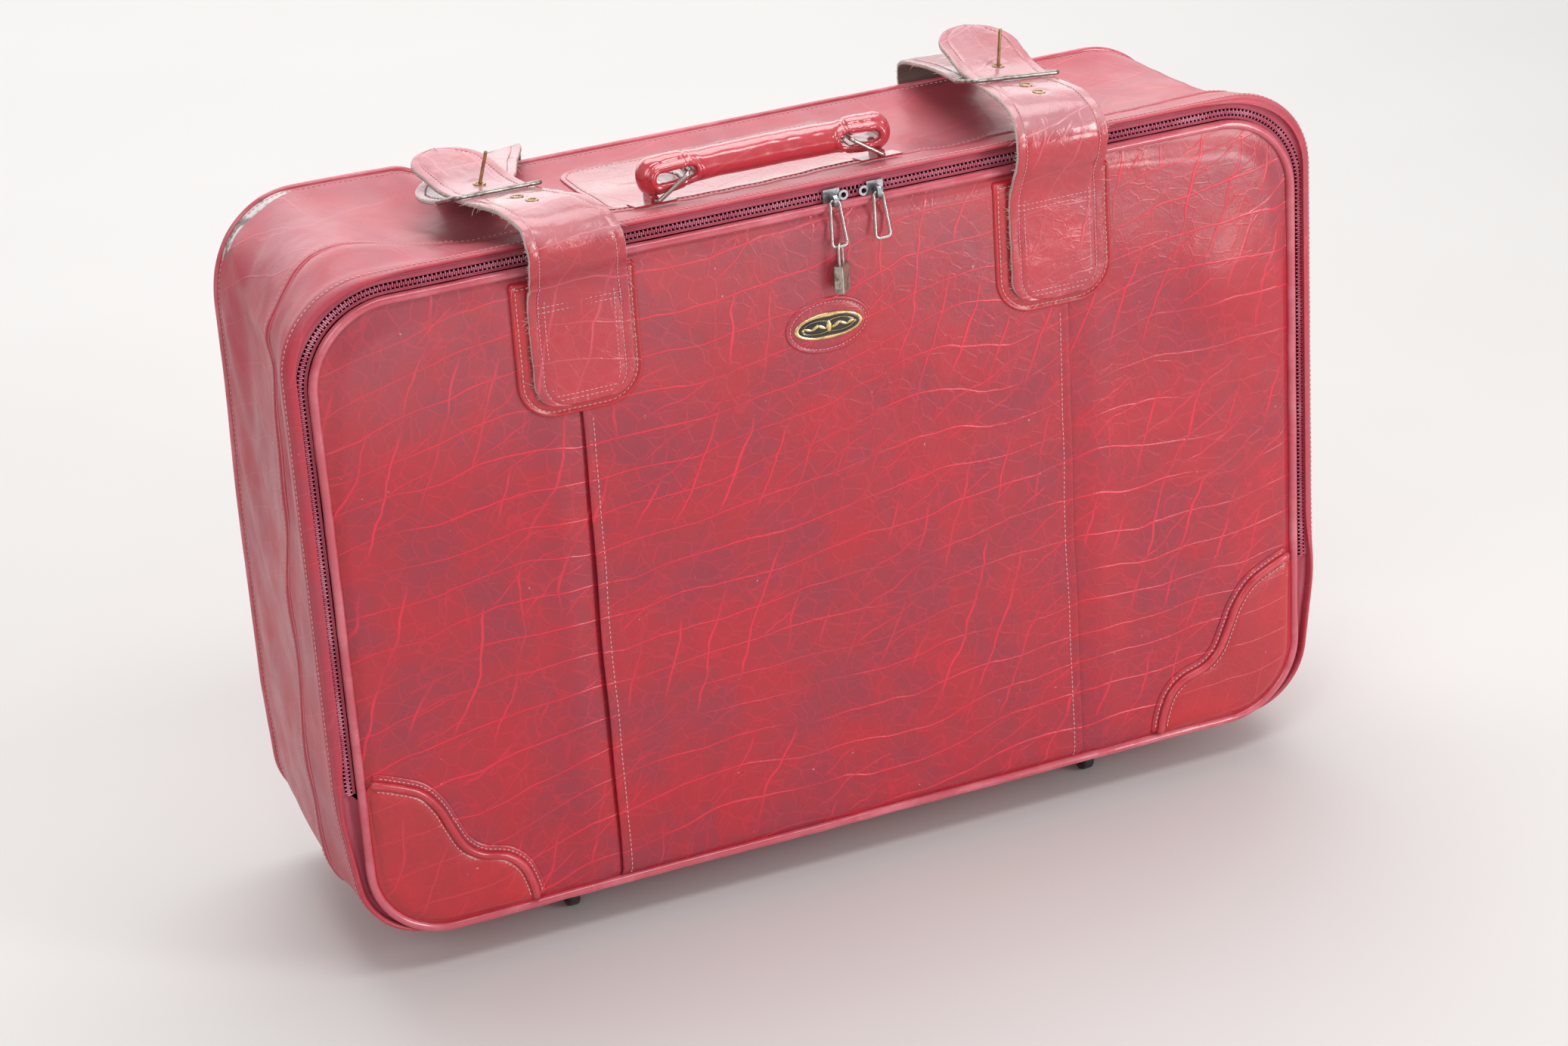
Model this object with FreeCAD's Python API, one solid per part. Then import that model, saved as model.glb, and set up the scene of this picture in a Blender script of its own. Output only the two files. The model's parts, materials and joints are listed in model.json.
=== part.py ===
"""Soft-sided zip suitcase with two buckled straps, a padded handle on wire bails, and four swivel castors.

Frame: +Z up, +X right, the front (lid) faces -Y. The origin is on the floor, under the middle of the case.
Millimetres. Each sub-part is one function that returns a shape, and NODES lists them by name.
"""
import FreeCAD, Part
import math
import os

V = FreeCAD.Vector

# Driving dimensions of the case
CASE_DEPTH = 215.0
FRONT_Y = -105.71
BOTTOM_Z = 36.0
PANEL_HALF_W = 360.0
PANEL_H = 466.0
PANEL_R = 56.0
WALL = 3.0
PIPING_R = 3.2
WELT_R = 2.6
WELT_BACK = 58.0

# Outline of the case at its front edge, at the mid welt and at its back:
# (distance back, half width at the bottom, half width at the knee, half width at the top, top height)
CASE_STATIONS = (
    (0.0, 364.0, 378.0, 378.0, 485.0),
    (WELT_BACK, 366.0, 377.0, 377.0, 474.0),
    (CASE_DEPTH, 362.0, 367.0, 367.0, 460.0),
)
KNEE_H = 110.0
KNEE_R = 300.0
CASE_BOTTOM_R = 52.0
CASE_TOP_R = 62.0

# Zip
ZIP_OFFSET = 8.0
ZIP_END_H = 118.0
TEETH_IN = 0.3
TEETH_W = 2.4
TEETH_T = 2.4
TAPE_T = 0.8
ZIP_BACK = 2.5
SLIDER_X = {"left": 10.0, "right": 42.0}
SLIDER_L = 12.0
PULLER_L = 31.5
PULLER_WIRE_R = 1.1
PULLER_BEND_R = 2.9
PULLER_BACK = -4.8
PULLER_DROP = 2.2
PULLER_LEAN = 10.0
PADLOCK_TURN = 45.0

# Inside
HOOP_R = 2.5
HOOP_BACK = (9.5, 203.0)
BASE_BOARD_HALF_W = 300.0
BASE_BOARD_T = 4.0
BACK_BOARD_T = 3.4
LINING_T = 1.2
GUSSET_LINING_IN = 8.4
PACKING_X = 120.0
PACKING_STRAP_HALF_W = 12.5
PACKING_STRAP_ENDS = (40.0, 430.0)
CLASP_HALF_W = 17.0
CLASP_ENDS = (214.0, 256.0)
CLASP_T = 4.4
LID_BOARD_T = 3.0
POCKET_HALF_W = 250.0
POCKET_ENDS = (60.0, 300.0)
POCKET_T = 3.0

# Patches on the lid
SEAM_X = 180.0
EDGE_BINDING_END_H = 48.0
CORNER_WELT = ((352.5, 124), (321, 111), (302, 80), (287, 54), (262, 44), (246, 8))
CORNER_WELT_R = 2.7
CORNER_PATCH_T = 1.2
BADGE_H = 385.0
BADGE_PATCH_HALF = (32.0, 21.5)
BADGE_PLATE_HALF = (25.0, 9.5)
BADGE_T = 1.3

# Straps
STRAP_X = {"left": -177.0, "right": 173.0}
REAR_STRAP_X = {"left": -163.0, "right": 193.0}
STRAP_W = 58.0
STRAP_TAB_W = 71.0
STRAP_BEND_W = 68.0
STRAP_T = 3.0
STRAP_TAB_BOTTOM = 369.0
STRAP_TAB_TOP = 442.0
UNDERLAY_W = 89.0
UNDERLAY_SHIFT = -2.0
UNDERLAY_BOTTOM = 361.0
UNDERLAY_TOP = 460.0
UNDERLAY_T = 1.3
EYELET_R = 4.5
EYELET_HOLE_R = 2.6
EYELET_OFFSETS = (-12.0, 7.0)
BUCKLE_REACH = 29.0
BUCKLE_RISE = 8.2
BUCKLE_HALF_W = 32.8
BUCKLE_WIRE_R = 1.6
PRONG_L = 34.0
PRONG_R = 1.2

# Handle
HANDLE_X = -18.0
HANDLE_BACK = 47.0
GRIP_HALF_L = 92.0
GRIP_R = 11.0
GRIP_H = 495.0
BAIL_ANCHOR_X = 83.0
BAIL_ANCHOR_H = 481.2
BAIL_L = 28.0
BAIL_LEAN = 56.0
BAIL_HALF_W = 13.5
BAIL_WIRE_R = 1.5

# Castors
CASTOR_X = 205.0
CASTOR_BACK = (38.0, 173.0)
WHEEL_R = 12.0
WHEEL_W = 8.0
AXLE_R = 1.5
KINGPIN_R = 2.4
TRAIL = 8.0
RUNNING = 0.05


# ---- geometry helpers ----

def back(distance):
    """The Y of a plane this far behind the lid's front edge."""
    return FRONT_Y + distance


def up(height):
    """The Z of a point this far above the case's bottom."""
    return BOTTOM_Z + height


def filleted(points, radii):
    """A closed wire through points, with each corner rounded to its radius."""
    count = len(points)
    starts, edges = [], []
    for i, (p, r) in enumerate(zip(points, radii)):
        to_last = (points[i - 1] - p).normalize()
        to_next = (points[(i + 1) % count] - p).normalize()
        half = to_last.getAngle(to_next) / 2
        reach = r / math.tan(half)
        middle = (to_last + to_next).normalize()
        top = p + middle * (r / math.sin(half) - r)
        starts.append((p + to_last * reach, top, p + to_next * reach))
    for i, (first, top, last) in enumerate(starts):
        edges.append(Part.Arc(first, top, last).toShape())
        edges.append(Part.LineSegment(last, starts[(i + 1) % count][0]).toShape())
    return Part.Wire(edges)


def panel_outline(distance, grow=0.0):
    """The lid panel's rounded rectangle, made larger by grow, at a distance back."""
    w = PANEL_HALF_W + grow
    y = back(distance)
    low, high = up(-grow), up(PANEL_H + grow)
    points = [V(-w, y, low), V(w, y, low), V(w, y, high), V(-w, y, high)]
    return filleted(points, [PANEL_R + grow] * 4)


def case_station(distance):
    """The case's half widths and top height at a distance back, between the stated stations."""
    for near, far in zip(CASE_STATIONS, CASE_STATIONS[1:]):
        if distance <= far[0]:
            t = (distance - near[0]) / (far[0] - near[0])
            return [a + (b - a) * t for a, b in zip(near, far)][1:]
    return list(CASE_STATIONS[-1][1:])


def case_outline(distance, grow=0.0):
    """The case's outline at a distance back: narrower below the knee, where the zip ends."""
    bottom, knee, top, height = case_station(distance)
    y = back(distance)
    points = [
        V(-bottom - grow, y, up(-grow)),
        V(bottom + grow, y, up(-grow)),
        V(knee + grow, y, up(KNEE_H)),
        V(top + grow, y, up(height + grow)),
        V(-top - grow, y, up(height + grow)),
        V(-knee - grow, y, up(KNEE_H)),
    ]
    low = CASE_BOTTOM_R + grow
    high = CASE_TOP_R + grow
    return filleted(points, [low, low, KNEE_R, high, high, KNEE_R])


def case_ring(start, end, outer, inner):
    """A band of the case between two distances back and two offsets of its outline."""
    solids = [
        Part.makeLoft([case_outline(start, g), case_outline(end, g)], True, True)
        for g in (outer, inner)
    ]
    return solids[0].cut(solids[1])


def slab(wire, thickness):
    """A closed wire in an XZ plane, thickened towards the back."""
    return Part.Face(wire).extrude(V(0, thickness, 0))


def panel_ring(distance, thickness, outer, inner):
    """A flat ring that follows the lid panel's outline."""
    hole = slab(panel_outline(distance, inner), thickness)
    return slab(panel_outline(distance, outer), thickness).cut(hole)


def bead(wire, radius):
    """A round bead along a wire, which starts with a straight stretch."""
    edge = wire.OrderedEdges[0]
    start = edge.valueAt(edge.FirstParameter)
    along = edge.tangentAt(edge.FirstParameter)
    circle = Part.Wire(Part.makeCircle(radius, start, along))
    return Part.Wire(wire.OrderedEdges).makePipeShell([circle], True, True)


def box(low, high):
    """A block between two corners."""
    size = high - low
    return Part.makeBox(size.x, size.y, size.z, low)


def block(x0, x1, y0, y1, z0, z1):
    """A block from distances back and heights above the case's bottom."""
    return box(V(x0, back(y0), up(z0)), V(x1, back(y1), up(z1)))


def rod(start, end, radius):
    """A round rod between two points."""
    return Part.makeCylinder(radius, (end - start).Length, start, end - start)


def wire_ring(points, corner_r, wire_r):
    """A closed ring of round wire through points, with rounded corners."""
    outline = filleted(points, [corner_r] * len(points))
    edges = outline.OrderedEdges
    straight = edges[1]
    start = straight.valueAt((straight.FirstParameter + straight.LastParameter) / 2)
    along = straight.tangentAt(straight.FirstParameter)
    halves = straight.split((straight.FirstParameter + straight.LastParameter) / 2).OrderedEdges
    path = Part.Wire([halves[1]] + edges[2:] + [edges[0]] + [halves[0]])
    circle = Part.Wire(Part.makeCircle(wire_r, start, along))
    return path.makePipeShell([circle], True, True)


def group(shapes):
    """Several separate solids in one node."""
    solids = [solid for shape in shapes for solid in shape.Solids]
    return Part.makeCompound(solids)


def moved(shape, placement):
    """A copy of a shape, put in place."""
    copy = shape.copy()
    copy.Placement = placement.multiply(copy.Placement)
    return copy


def turned(point, axis, degrees):
    """The placement that turns a shape about a point."""
    return FreeCAD.Placement(V(0, 0, 0), FreeCAD.Rotation(axis, degrees), point)


# ---- the case ----

def gusset_front_band():
    return case_ring(PIPING_R + 0.6, WELT_BACK - WELT_R - 0.1, 0, -WALL)


def gusset_back_band():
    return case_ring(WELT_BACK + WELT_R + 0.1, CASE_DEPTH - 5.4, 0, -WALL)


def gusset_mid_welt():
    return bead(straight_first(case_outline(WELT_BACK)), WELT_R)


def straight_first(wire):
    """The same closed wire, starting on its bottom straight."""
    edges = wire.OrderedEdges
    return Part.Wire(edges[1:] + edges[:1])


def front_edge_binding():
    """The folded and stitched front edge, above the corners where the lid is hinged."""
    ring = case_ring(-0.5, PIPING_R + 0.5, 0, -5)
    return ring.cut(block(-400, 400, -10, 20, -20, EDGE_BINDING_END_H))


def back_panel():
    return slab(case_outline(CASE_DEPTH - 4, -PIPING_R - 0.1), WALL)


def back_piping():
    return bead(straight_first(case_outline(CASE_DEPTH - 2)), PIPING_R)


def zip_half(inner, outer, distance, thickness):
    """One half of the zip, in an arch round the top and sides of the lid."""
    ring = panel_ring(distance, thickness, outer, inner)
    return ring.cut(block(-420, 420, -10, 20, -20, ZIP_END_H))


def zip_tape_case():
    """The strip of tape between the zip's teeth and the bound edge."""
    outline = slab(case_outline(ZIP_BACK, -5.2), TAPE_T)
    hole = slab(panel_outline(ZIP_BACK, ZIP_OFFSET + TEETH_IN + TEETH_W + 0.05), TAPE_T)
    return outline.cut(hole).cut(block(-420, 420, -10, 20, -20, ZIP_END_H))


def zip_tape_lid():
    return zip_half(PIPING_R + 0.1, ZIP_OFFSET - TEETH_IN - TEETH_W - 0.05, ZIP_BACK, TAPE_T)


def zip_teeth_case():
    """The outer row of teeth, with the two end stops at its feet."""
    centre = ZIP_OFFSET + TEETH_IN
    teeth = zip_half(centre, centre + TEETH_W, ZIP_BACK - TEETH_T / 3, TEETH_T)
    x = PANEL_HALF_W + ZIP_OFFSET
    stops = [block(s * x - 2.4, s * x + 2.4, 1.4, 4.2, ZIP_END_H - 6, ZIP_END_H - 0.2) for s in (-1, 1)]
    return group([teeth] + stops)


def zip_teeth_lid():
    centre = ZIP_OFFSET - TEETH_IN
    return zip_half(centre - TEETH_W, centre, ZIP_BACK - TEETH_T / 3, TEETH_T)


def frame_hoops():
    """The two spring wire hoops that hold the soft case open, one behind each edge."""
    inset = -WALL - HOOP_R - 0.1
    return group([bead(straight_first(case_outline(d, inset)), HOOP_R) for d in HOOP_BACK])


def base_board():
    low = WALL + 0.1
    half = BASE_BOARD_HALF_W
    return block(-half, half, 13, CASE_DEPTH - 16, low, low + BASE_BOARD_T)


def back_board():
    return slab(case_outline(CASE_DEPTH - 7.6, -WALL - 0.3), BACK_BOARD_T)


def gusset_lining():
    return case_ring(14, CASE_DEPTH - 9.4, -GUSSET_LINING_IN, -GUSSET_LINING_IN - 1)


def back_lining():
    return slab(case_outline(CASE_DEPTH - 9.2, -9.6), LINING_T)


def packing_straps():
    """Two webbing straps that hold the clothes down, lying on the back lining."""
    y = CASE_DEPTH - 10.6
    low, high = PACKING_STRAP_ENDS
    half = PACKING_STRAP_HALF_W
    return group([block(x - half, x + half, y, y + LINING_T, low, high) for x in (-PACKING_X, PACKING_X)])


def packing_clasps():
    """The two plastic clasps of the packing straps."""
    y = CASE_DEPTH - 15.2
    low, high = CLASP_ENDS
    half = CLASP_HALF_W
    return group([block(x - half, x + half, y, y + CLASP_T, low, high) for x in (-PACKING_X, PACKING_X)])


# ---- the lid ----

def panel_part(x0, x1):
    panel = slab(panel_outline(-2, -PIPING_R - 0.1), WALL)
    return panel.common(block(x0, x1, -10, 10, -10, PANEL_H + 10))


def front_panel_left():
    return panel_part(-400, -SEAM_X)


def front_panel_centre():
    return panel_part(-SEAM_X, SEAM_X)


def front_panel_right():
    return panel_part(SEAM_X, 400)


def lid_board():
    return slab(panel_outline(1.05, -PIPING_R - 1), LID_BOARD_T)


def lid_lining():
    return slab(panel_outline(4.1, -7), LINING_T)


def lid_pocket():
    """The gathered pocket on the inside of the lid."""
    y = back(5.4)
    low, high = [up(h) for h in POCKET_ENDS]
    half = POCKET_HALF_W
    points = [V(-half, y, low), V(half, y, low), V(half, y, high), V(-half, y, high)]
    return slab(filleted(points, [30, 30, 12, 12]), POCKET_T)


def lid_piping():
    """The piping round the lid. Its bottom run is the sewn hinge."""
    return bead(straight_first(panel_outline(0)), PIPING_R)


def welt_curve(side, inset=0.0):
    """The S-shaped edge of a corner patch."""
    at = [V(side * (x + inset), back(-4.9), up(z - inset)) for x, z in CORNER_WELT]
    curve = Part.BSplineCurve()
    curve.interpolate(at)
    return curve


def corner_patches():
    patches = []
    for side in (-1, 1):
        curve = welt_curve(side, 3.0).toShape()
        ends = [curve.valueAt(t) for t in (curve.FirstParameter, curve.LastParameter)]
        outer = V(side * 420, ends[0].y, ends[0].z)
        corner = V(side * 420, ends[0].y, up(-60))
        foot = V(ends[1].x, ends[1].y, up(-60))
        route = [ends[1], foot, corner, outer, ends[0]]
        lines = [Part.LineSegment(a, b).toShape() for a, b in zip(route, route[1:])]
        outline = Part.Wire([curve] + lines)
        cutter = Part.Face(outline).extrude(V(0, 10, 0))
        patches.append(slab(panel_outline(-3.3, -PIPING_R - 0.4), CORNER_PATCH_T).common(cutter))
    return group(patches)


def corner_welts():
    welts = []
    for side in (-1, 1):
        curve = welt_curve(side)
        edge = curve.toShape()
        circle = Part.Wire(Part.makeCircle(CORNER_WELT_R, curve.value(0), curve.tangent(0)[0]))
        welts.append(Part.Wire(edge).makePipeShell([circle], True, True))
    return group(welts)


def strap_underlays():
    return group([strap_patch(x, -2.1 - UNDERLAY_T, UNDERLAY_T) for x in STRAP_X.values()])


def strap_patch(strap_x, distance, thickness):
    """The rounded patch that a strap is sewn to."""
    x, y, half = strap_x + UNDERLAY_SHIFT, back(distance), UNDERLAY_W / 2
    low, high = up(UNDERLAY_BOTTOM), up(UNDERLAY_TOP)
    points = [V(x - half, y, low), V(x + half, y, low), V(x + half, y, high), V(x - half, y, high)]
    return slab(filleted(points, [26, 26, 3, 3]), thickness)


def badge_patch():
    return oval(*BADGE_PATCH_HALF, -3.4, BADGE_T)


def badge_plate():
    return oval(*BADGE_PLATE_HALF, -4.8, BADGE_T)


def oval(half_w, half_h, distance, thickness):
    """An upright oval plate on the lid, under the padlock."""
    centre = V(0, back(distance), up(BADGE_H))
    flat = Part.Ellipse(centre, half_w, half_h).toShape()
    flat.rotate(centre, V(1, 0, 0), 90)
    return slab(Part.Wire(flat), thickness)


# ---- straps and buckles ----

def buckle_place(side):
    """Where a buckle sits: its pivot bar along local X, its front bar towards local -Y."""
    if side == "left":
        turn = FreeCAD.Rotation(V(0, 0, 1), 12).multiply(FreeCAD.Rotation(V(0, 1, 0), 5))
        turn = turn.multiply(FreeCAD.Rotation(V(1, 0, 0), -5))
        return FreeCAD.Placement(V(STRAP_X["left"] - 32, back(87), up(491.5)), turn)
    turn = FreeCAD.Rotation(V(0, 1, 0), 5)
    return FreeCAD.Placement(V(STRAP_X["right"] - 1, back(76), up(505)), turn)


PRONG_LEAN = {"left": 24.0, "right": 2.0}
# Lower stations of each strap's arch: (sideways, distance back, height above the case's bottom)
STRAP_ARCH = {
    "left": (
        (0, -9.5, 458), (-2, -17, 472), (-4, -19, 486),
        (-7, -10, 499), (-13, 10, 504), (-19, 32, 502.5),
    ),
    "right": (
        (0, -9.5, 458), (0, -17, 473), (0, -19, 489),
        (0, -10, 503), (0, 8, 509.5), (0, 26, 510),
    ),
}
REAR_ARCH = {
    "left": ((0, 14, 446), (-1, 15, 460), (-5, 4, 472), (-18, -30, 479), (-32, -70, 485)),
    "right": ((0, 14, 448), (0, 16, 462), (-2, 4, 475), (-9, -40, 487), (-15, -80, 496)),
}
# Past the arch: (distance ahead of the pivot bar, height above it, width), in the buckle's own frame
STRAP_TAIL = ((-29, 4.6, 59), (0, 6.3, 58), (22, 12, 58), (40, 17, 54), (50, 19.5, 43), (55, 20.5, 24))


def strap_stations(side):
    """The front strap's centre points, side-to-side directions and widths, from its tab to its tip."""
    place = buckle_place(side)
    across = place.Rotation.multVec(V(1, 0, 0))
    face = -2.1 - UNDERLAY_T - STRAP_T / 2 - 0.05
    rows = [((0, face, STRAP_TAB_BOTTOM), 0.0, STRAP_TAB_W), ((0, face, STRAP_TAB_TOP), 0.0, STRAP_TAB_W)]
    arch = STRAP_ARCH[side]
    for i, place_on_arch in enumerate(arch):
        share = (i + 1) / (len(arch) + 1)
        width = STRAP_BEND_W + (STRAP_W - STRAP_BEND_W) * max(i - 2, 0) / (len(arch) - 2)
        rows.append((place_on_arch, share, width))
    stations = []
    for (x, y, z), share, width in rows:
        direction = (V(1, 0, 0) * (1 - share) + across * share).normalize()
        stations.append((V(STRAP_X[side] + x, back(y), up(z)), direction, width))
    for ahead, rise, width in STRAP_TAIL:
        stations.append((place.multVec(V(0, ahead, rise)), across, width))
    return stations


def rear_strap_stations(side):
    """The rear strap's stations, from its tab on the back panel to the buckle's pivot bar."""
    place = buckle_place(side)
    across = place.Rotation.multVec(V(1, 0, 0))
    face = CASE_DEPTH + STRAP_T / 2 - 0.9
    arch = REAR_ARCH[side]
    rows = [((0, face, STRAP_TAB_BOTTOM), 0.0), ((0, face, 436), 0.0)]
    rows += [((x, y + CASE_DEPTH, z), (i + 1) / (len(arch) + 1)) for i, (x, y, z) in enumerate(arch)]
    stations = []
    for (x, y, z), t in rows:
        direction = (V(1, 0, 0) * (1 - t) + across * t).normalize()
        stations.append((V(REAR_STRAP_X[side] + x, back(y), up(z)), direction, STRAP_W))
    stations.append((place.multVec(V(0, 26, -3)), across, STRAP_W))
    stations.append((place.multVec(V(0, 2.5, -0.6)), across, STRAP_W))
    return stations


def strap_solid(stations, thickness):
    """A flat strap lofted through its stations."""
    sections = []
    for i, (centre, across, width) in enumerate(stations):
        before = stations[max(i - 1, 0)][0]
        after = stations[min(i + 1, len(stations) - 1)][0]
        along = (after - before).normalize()
        side = (across - along * across.dot(along)).normalize() * (width / 2)
        normal = along.cross(side).normalize() * (thickness / 2)
        below, above = centre - normal, centre + normal
        corners = [below - side, below + side, above + side, above - side]
        sections.append(Part.makePolygon(corners + corners[:1]))
    return Part.makeLoft(sections, True, True)


def eyelet_places(side):
    """Each eyelet's centre and the direction through it: the prong's own, then two nearer the front."""
    place = buckle_place(side)
    through = place.Rotation.multVec(V(0, 0, 1))
    arch = STRAP_ARCH[side]
    lean = math.radians(PRONG_LEAN[side])
    rise = STRAP_TAIL[1][1]
    places = [(place.multVec(V(0, -rise * math.tan(lean), rise)), through)]
    near = V(STRAP_X[side] + arch[-1][0], back(arch[-1][1]), up(arch[-1][2]))
    front_bar = place.multVec(V(0, STRAP_TAIL[0][0], STRAP_TAIL[0][1]))
    slope = (front_bar - near).normalize()
    return places + [(near + slope * offset, through) for offset in EYELET_OFFSETS]


def front_strap(side):
    strap = strap_solid(strap_stations(side), STRAP_T)
    for centre, through in eyelet_places(side):
        strap = strap.cut(rod(centre - through * 9, centre + through * 9, EYELET_R + 0.05))
    return strap


def eyelets(side):
    """The strap's pressed metal eyelets."""
    rings = []
    for centre, through in eyelet_places(side):
        ends = centre - through * 2.0, centre + through * 2.0
        rings.append(rod(*ends, EYELET_R).cut(rod(*ends, EYELET_HOLE_R)))
    return group(rings)


def rear_strap(side):
    """The rear strap, folded round the buckle's pivot bar with a slot for the prong."""
    place = buckle_place(side)
    strap = strap_solid(rear_strap_stations(side), STRAP_T)
    outer_r = 3.6
    half = STRAP_W / 2
    fold = moved(Part.makeCylinder(outer_r, 2 * half, V(-half, 0, 0), V(1, 0, 0)), place)
    drill = Part.makeCylinder(BUCKLE_WIRE_R + RUNNING, 2 * half + 20, V(-half - 10, 0, 0), V(1, 0, 0))
    bore = moved(drill, place)
    slot = moved(box(V(-4.5, -8, -8), V(4.5, 9, 12)), place)
    return strap.fuse(fold).cut(bore).cut(slot)


def buckle_frame(side):
    """A rectangle of round steel wire: the pivot bar at the back, the front bar over the strap."""
    w = BUCKLE_HALF_W
    points = [V(-w, 0, 0), V(w, 0, 0), V(w, -BUCKLE_REACH, BUCKLE_RISE), V(-w, -BUCKLE_REACH, BUCKLE_RISE)]
    return moved(wire_ring(points, 3.5, BUCKLE_WIRE_R), buckle_place(side))


def prong(side):
    """The prong, looped round the pivot bar and standing up through the strap's eyelet."""
    lean = math.radians(PRONG_LEAN[side])
    tip = V(0, -math.sin(lean), math.cos(lean))
    loop = Part.makeCylinder(3.3, 4.4, V(-2.2, 0, 0), V(1, 0, 0))
    shaft = rod(tip * 2, tip * PRONG_L, PRONG_R)
    end = Part.makeSphere(PRONG_R, tip * PRONG_L)
    bore = Part.makeCylinder(BUCKLE_WIRE_R + RUNNING, 12, V(-6, 0, 0), V(1, 0, 0))
    return moved(loop.fuse(shaft).fuse(end).cut(bore), buckle_place(side))


# ---- zip sliders and padlock ----

def puller_pivot(side):
    return V(SLIDER_X[side], back(PULLER_BACK), up(PANEL_H + ZIP_OFFSET - PULLER_DROP))


def slider(side):
    """A zip slider: two plates joined by a wedge, an arch for the puller and a locking lug."""
    x = SLIDER_X[side]
    inward = 1 if side == "left" else -1
    z = PANEL_H + ZIP_OFFSET
    half = SLIDER_L / 2
    front = block(x - half, x + half, 0.0, 1.1, z - 4.6, z + 4.6)
    rear = block(x - half, x + half, 4.5, 5.6, z - 4.6, z + 4.6)
    wedge = block(x - 2.5, x + 2.5, 1.1, 4.5, z - 0.2, z + 0.2)
    lug_x = x + inward * (half + 2.5)
    lug = rod(V(lug_x, back(-0.9), up(z - 1)), V(lug_x, back(1.1), up(z - 1)), 3.6)
    lug = lug.cut(rod(V(lug_x, back(-2), up(z - 1)), V(lug_x, back(3), up(z - 1)), 1.9))
    body = front.fuse(rear).fuse(wedge).fuse(lug)
    pivot = puller_pivot(side)
    arch = Part.makeCylinder(4.2, 3, pivot - V(1.5, 0, 0), V(1, 0, 0))
    arch = arch.common(box(pivot + V(-5, -6, -6), V(pivot.x + 5, back(0.5), pivot.z + 6)))
    arch = arch.fuse(block(x - 1.5, x + 1.5, -5, 0.2, z - PULLER_DROP + 2.2, z - PULLER_DROP + 4.2))
    hole = Part.makeCylinder(1.6, 9, pivot - V(4.5, 0, 0), V(1, 0, 0))
    return body.fuse(arch).cut(hole)


def puller_hangs(side):
    """The placement of a puller, from hanging straight down."""
    return turned(puller_pivot(side), V(1, 0, 0), -PULLER_LEAN)


def puller(side):
    """A long loop of wire, narrow at the slider and wider at its foot."""
    p = puller_pivot(side)
    points = [
        p + V(-3.2, 0, 0),
        p + V(3.2, 0, 0),
        p + V(5.6, 0, -PULLER_L),
        p + V(-5.6, 0, -PULLER_L),
    ]
    ring = wire_ring([points[i] for i in (3, 2, 1, 0)], PULLER_BEND_R, PULLER_WIRE_R)
    return moved(ring, puller_hangs(side))


def puller_foot(side):
    """The middle of the puller's lower bar, where the padlock hangs."""
    return puller_hangs(side).multVec(puller_pivot(side) - V(0, 0, PULLER_L))


LOCK_HALF_W = 6.5
LOCK_HALF_T = 3.4
LOCK_H = 19.5
SHACKLE_R = 0.9
SHACKLE_HALF_W = 3.3
SHACKLE_DROP = 12.5


def padlock_place():
    """The padlock's frame: its origin on the puller's lower bar, its face turned to one side."""
    foot = puller_foot("left")
    return FreeCAD.Placement(foot, FreeCAD.Rotation(V(0, 0, 1), PADLOCK_TURN))


def padlock_shackle():
    """A hoop of wire with both legs in the lock's body."""
    crown = PULLER_WIRE_R + 0.35 + SHACKLE_R - SHACKLE_HALF_W
    ring = Part.makeTorus(SHACKLE_HALF_W, SHACKLE_R, V(0, 0, crown), V(0, 1, 0))
    ring = ring.common(box(V(-9, -9, crown), V(9, 9, crown + 9)))
    foot = -SHACKLE_DROP - 6
    legs = []
    for x in (-SHACKLE_HALF_W, SHACKLE_HALF_W):
        legs.append(rod(V(x, 0, crown), V(x, 0, foot), SHACKLE_R))
    return moved(ring.fuse(legs[0]).fuse(legs[1]), padlock_place())


def padlock_body():
    """The lock's case, with a bore for each leg of the shackle and a keyway underneath."""
    top = -SHACKLE_DROP
    foot = top - LOCK_H
    body = box(V(-LOCK_HALF_W, -LOCK_HALF_T, foot), V(LOCK_HALF_W, LOCK_HALF_T, top))
    body = body.makeFillet(0.8, body.Edges)
    for s in (-1, 1):
        leg = V(s * SHACKLE_HALF_W, 0, top - 12.5)
        body = body.cut(rod(leg, leg + V(0, 0, 20), SHACKLE_R + RUNNING))
    body = body.cut(box(V(-0.5, -2, foot - 1), V(0.5, 2, foot + 4)))
    return moved(body, padlock_place())


# ---- handle ----

def handle_axis_y():
    return back(HANDLE_BACK)


def grip_x(offset):
    return HANDLE_X + offset


def handle_grip():
    """The padded grip, with a slot through each end for the bails and a bore for its core."""
    y, z = handle_axis_y(), up(GRIP_H)
    length = GRIP_HALF_L - GRIP_R
    grip = rod(V(grip_x(-length), y, z), V(grip_x(length), y, z), GRIP_R)
    for s in (-1, 1):
        grip = grip.fuse(Part.makeSphere(GRIP_R, V(grip_x(s * length), y, z)))
    for s in (-1, 1):
        near, far = sorted((grip_x(s * 57), grip_x(s * 78)))
        slot = box(V(near, y - 20, z - 4.4), V(far, y + 20, z + 4.4))
        for x in (near, far):
            slot = slot.fuse(rod(V(x, y - 20, z), V(x, y + 20, z), 4.4))
        grip = grip.cut(slot)
    return grip.cut(core_shape(4.0))


def core_shape(radius):
    y, z = handle_axis_y(), up(GRIP_H)
    return rod(V(grip_x(-48), y, z), V(grip_x(48), y, z), radius)


def handle_core():
    """The stiff core inside the grip."""
    return core_shape(3.95)


def bail_pivot(side):
    s = -1 if side == "left" else 1
    return V(grip_x(s * BAIL_ANCHOR_X), handle_axis_y(), up(BAIL_ANCHOR_H))


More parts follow.
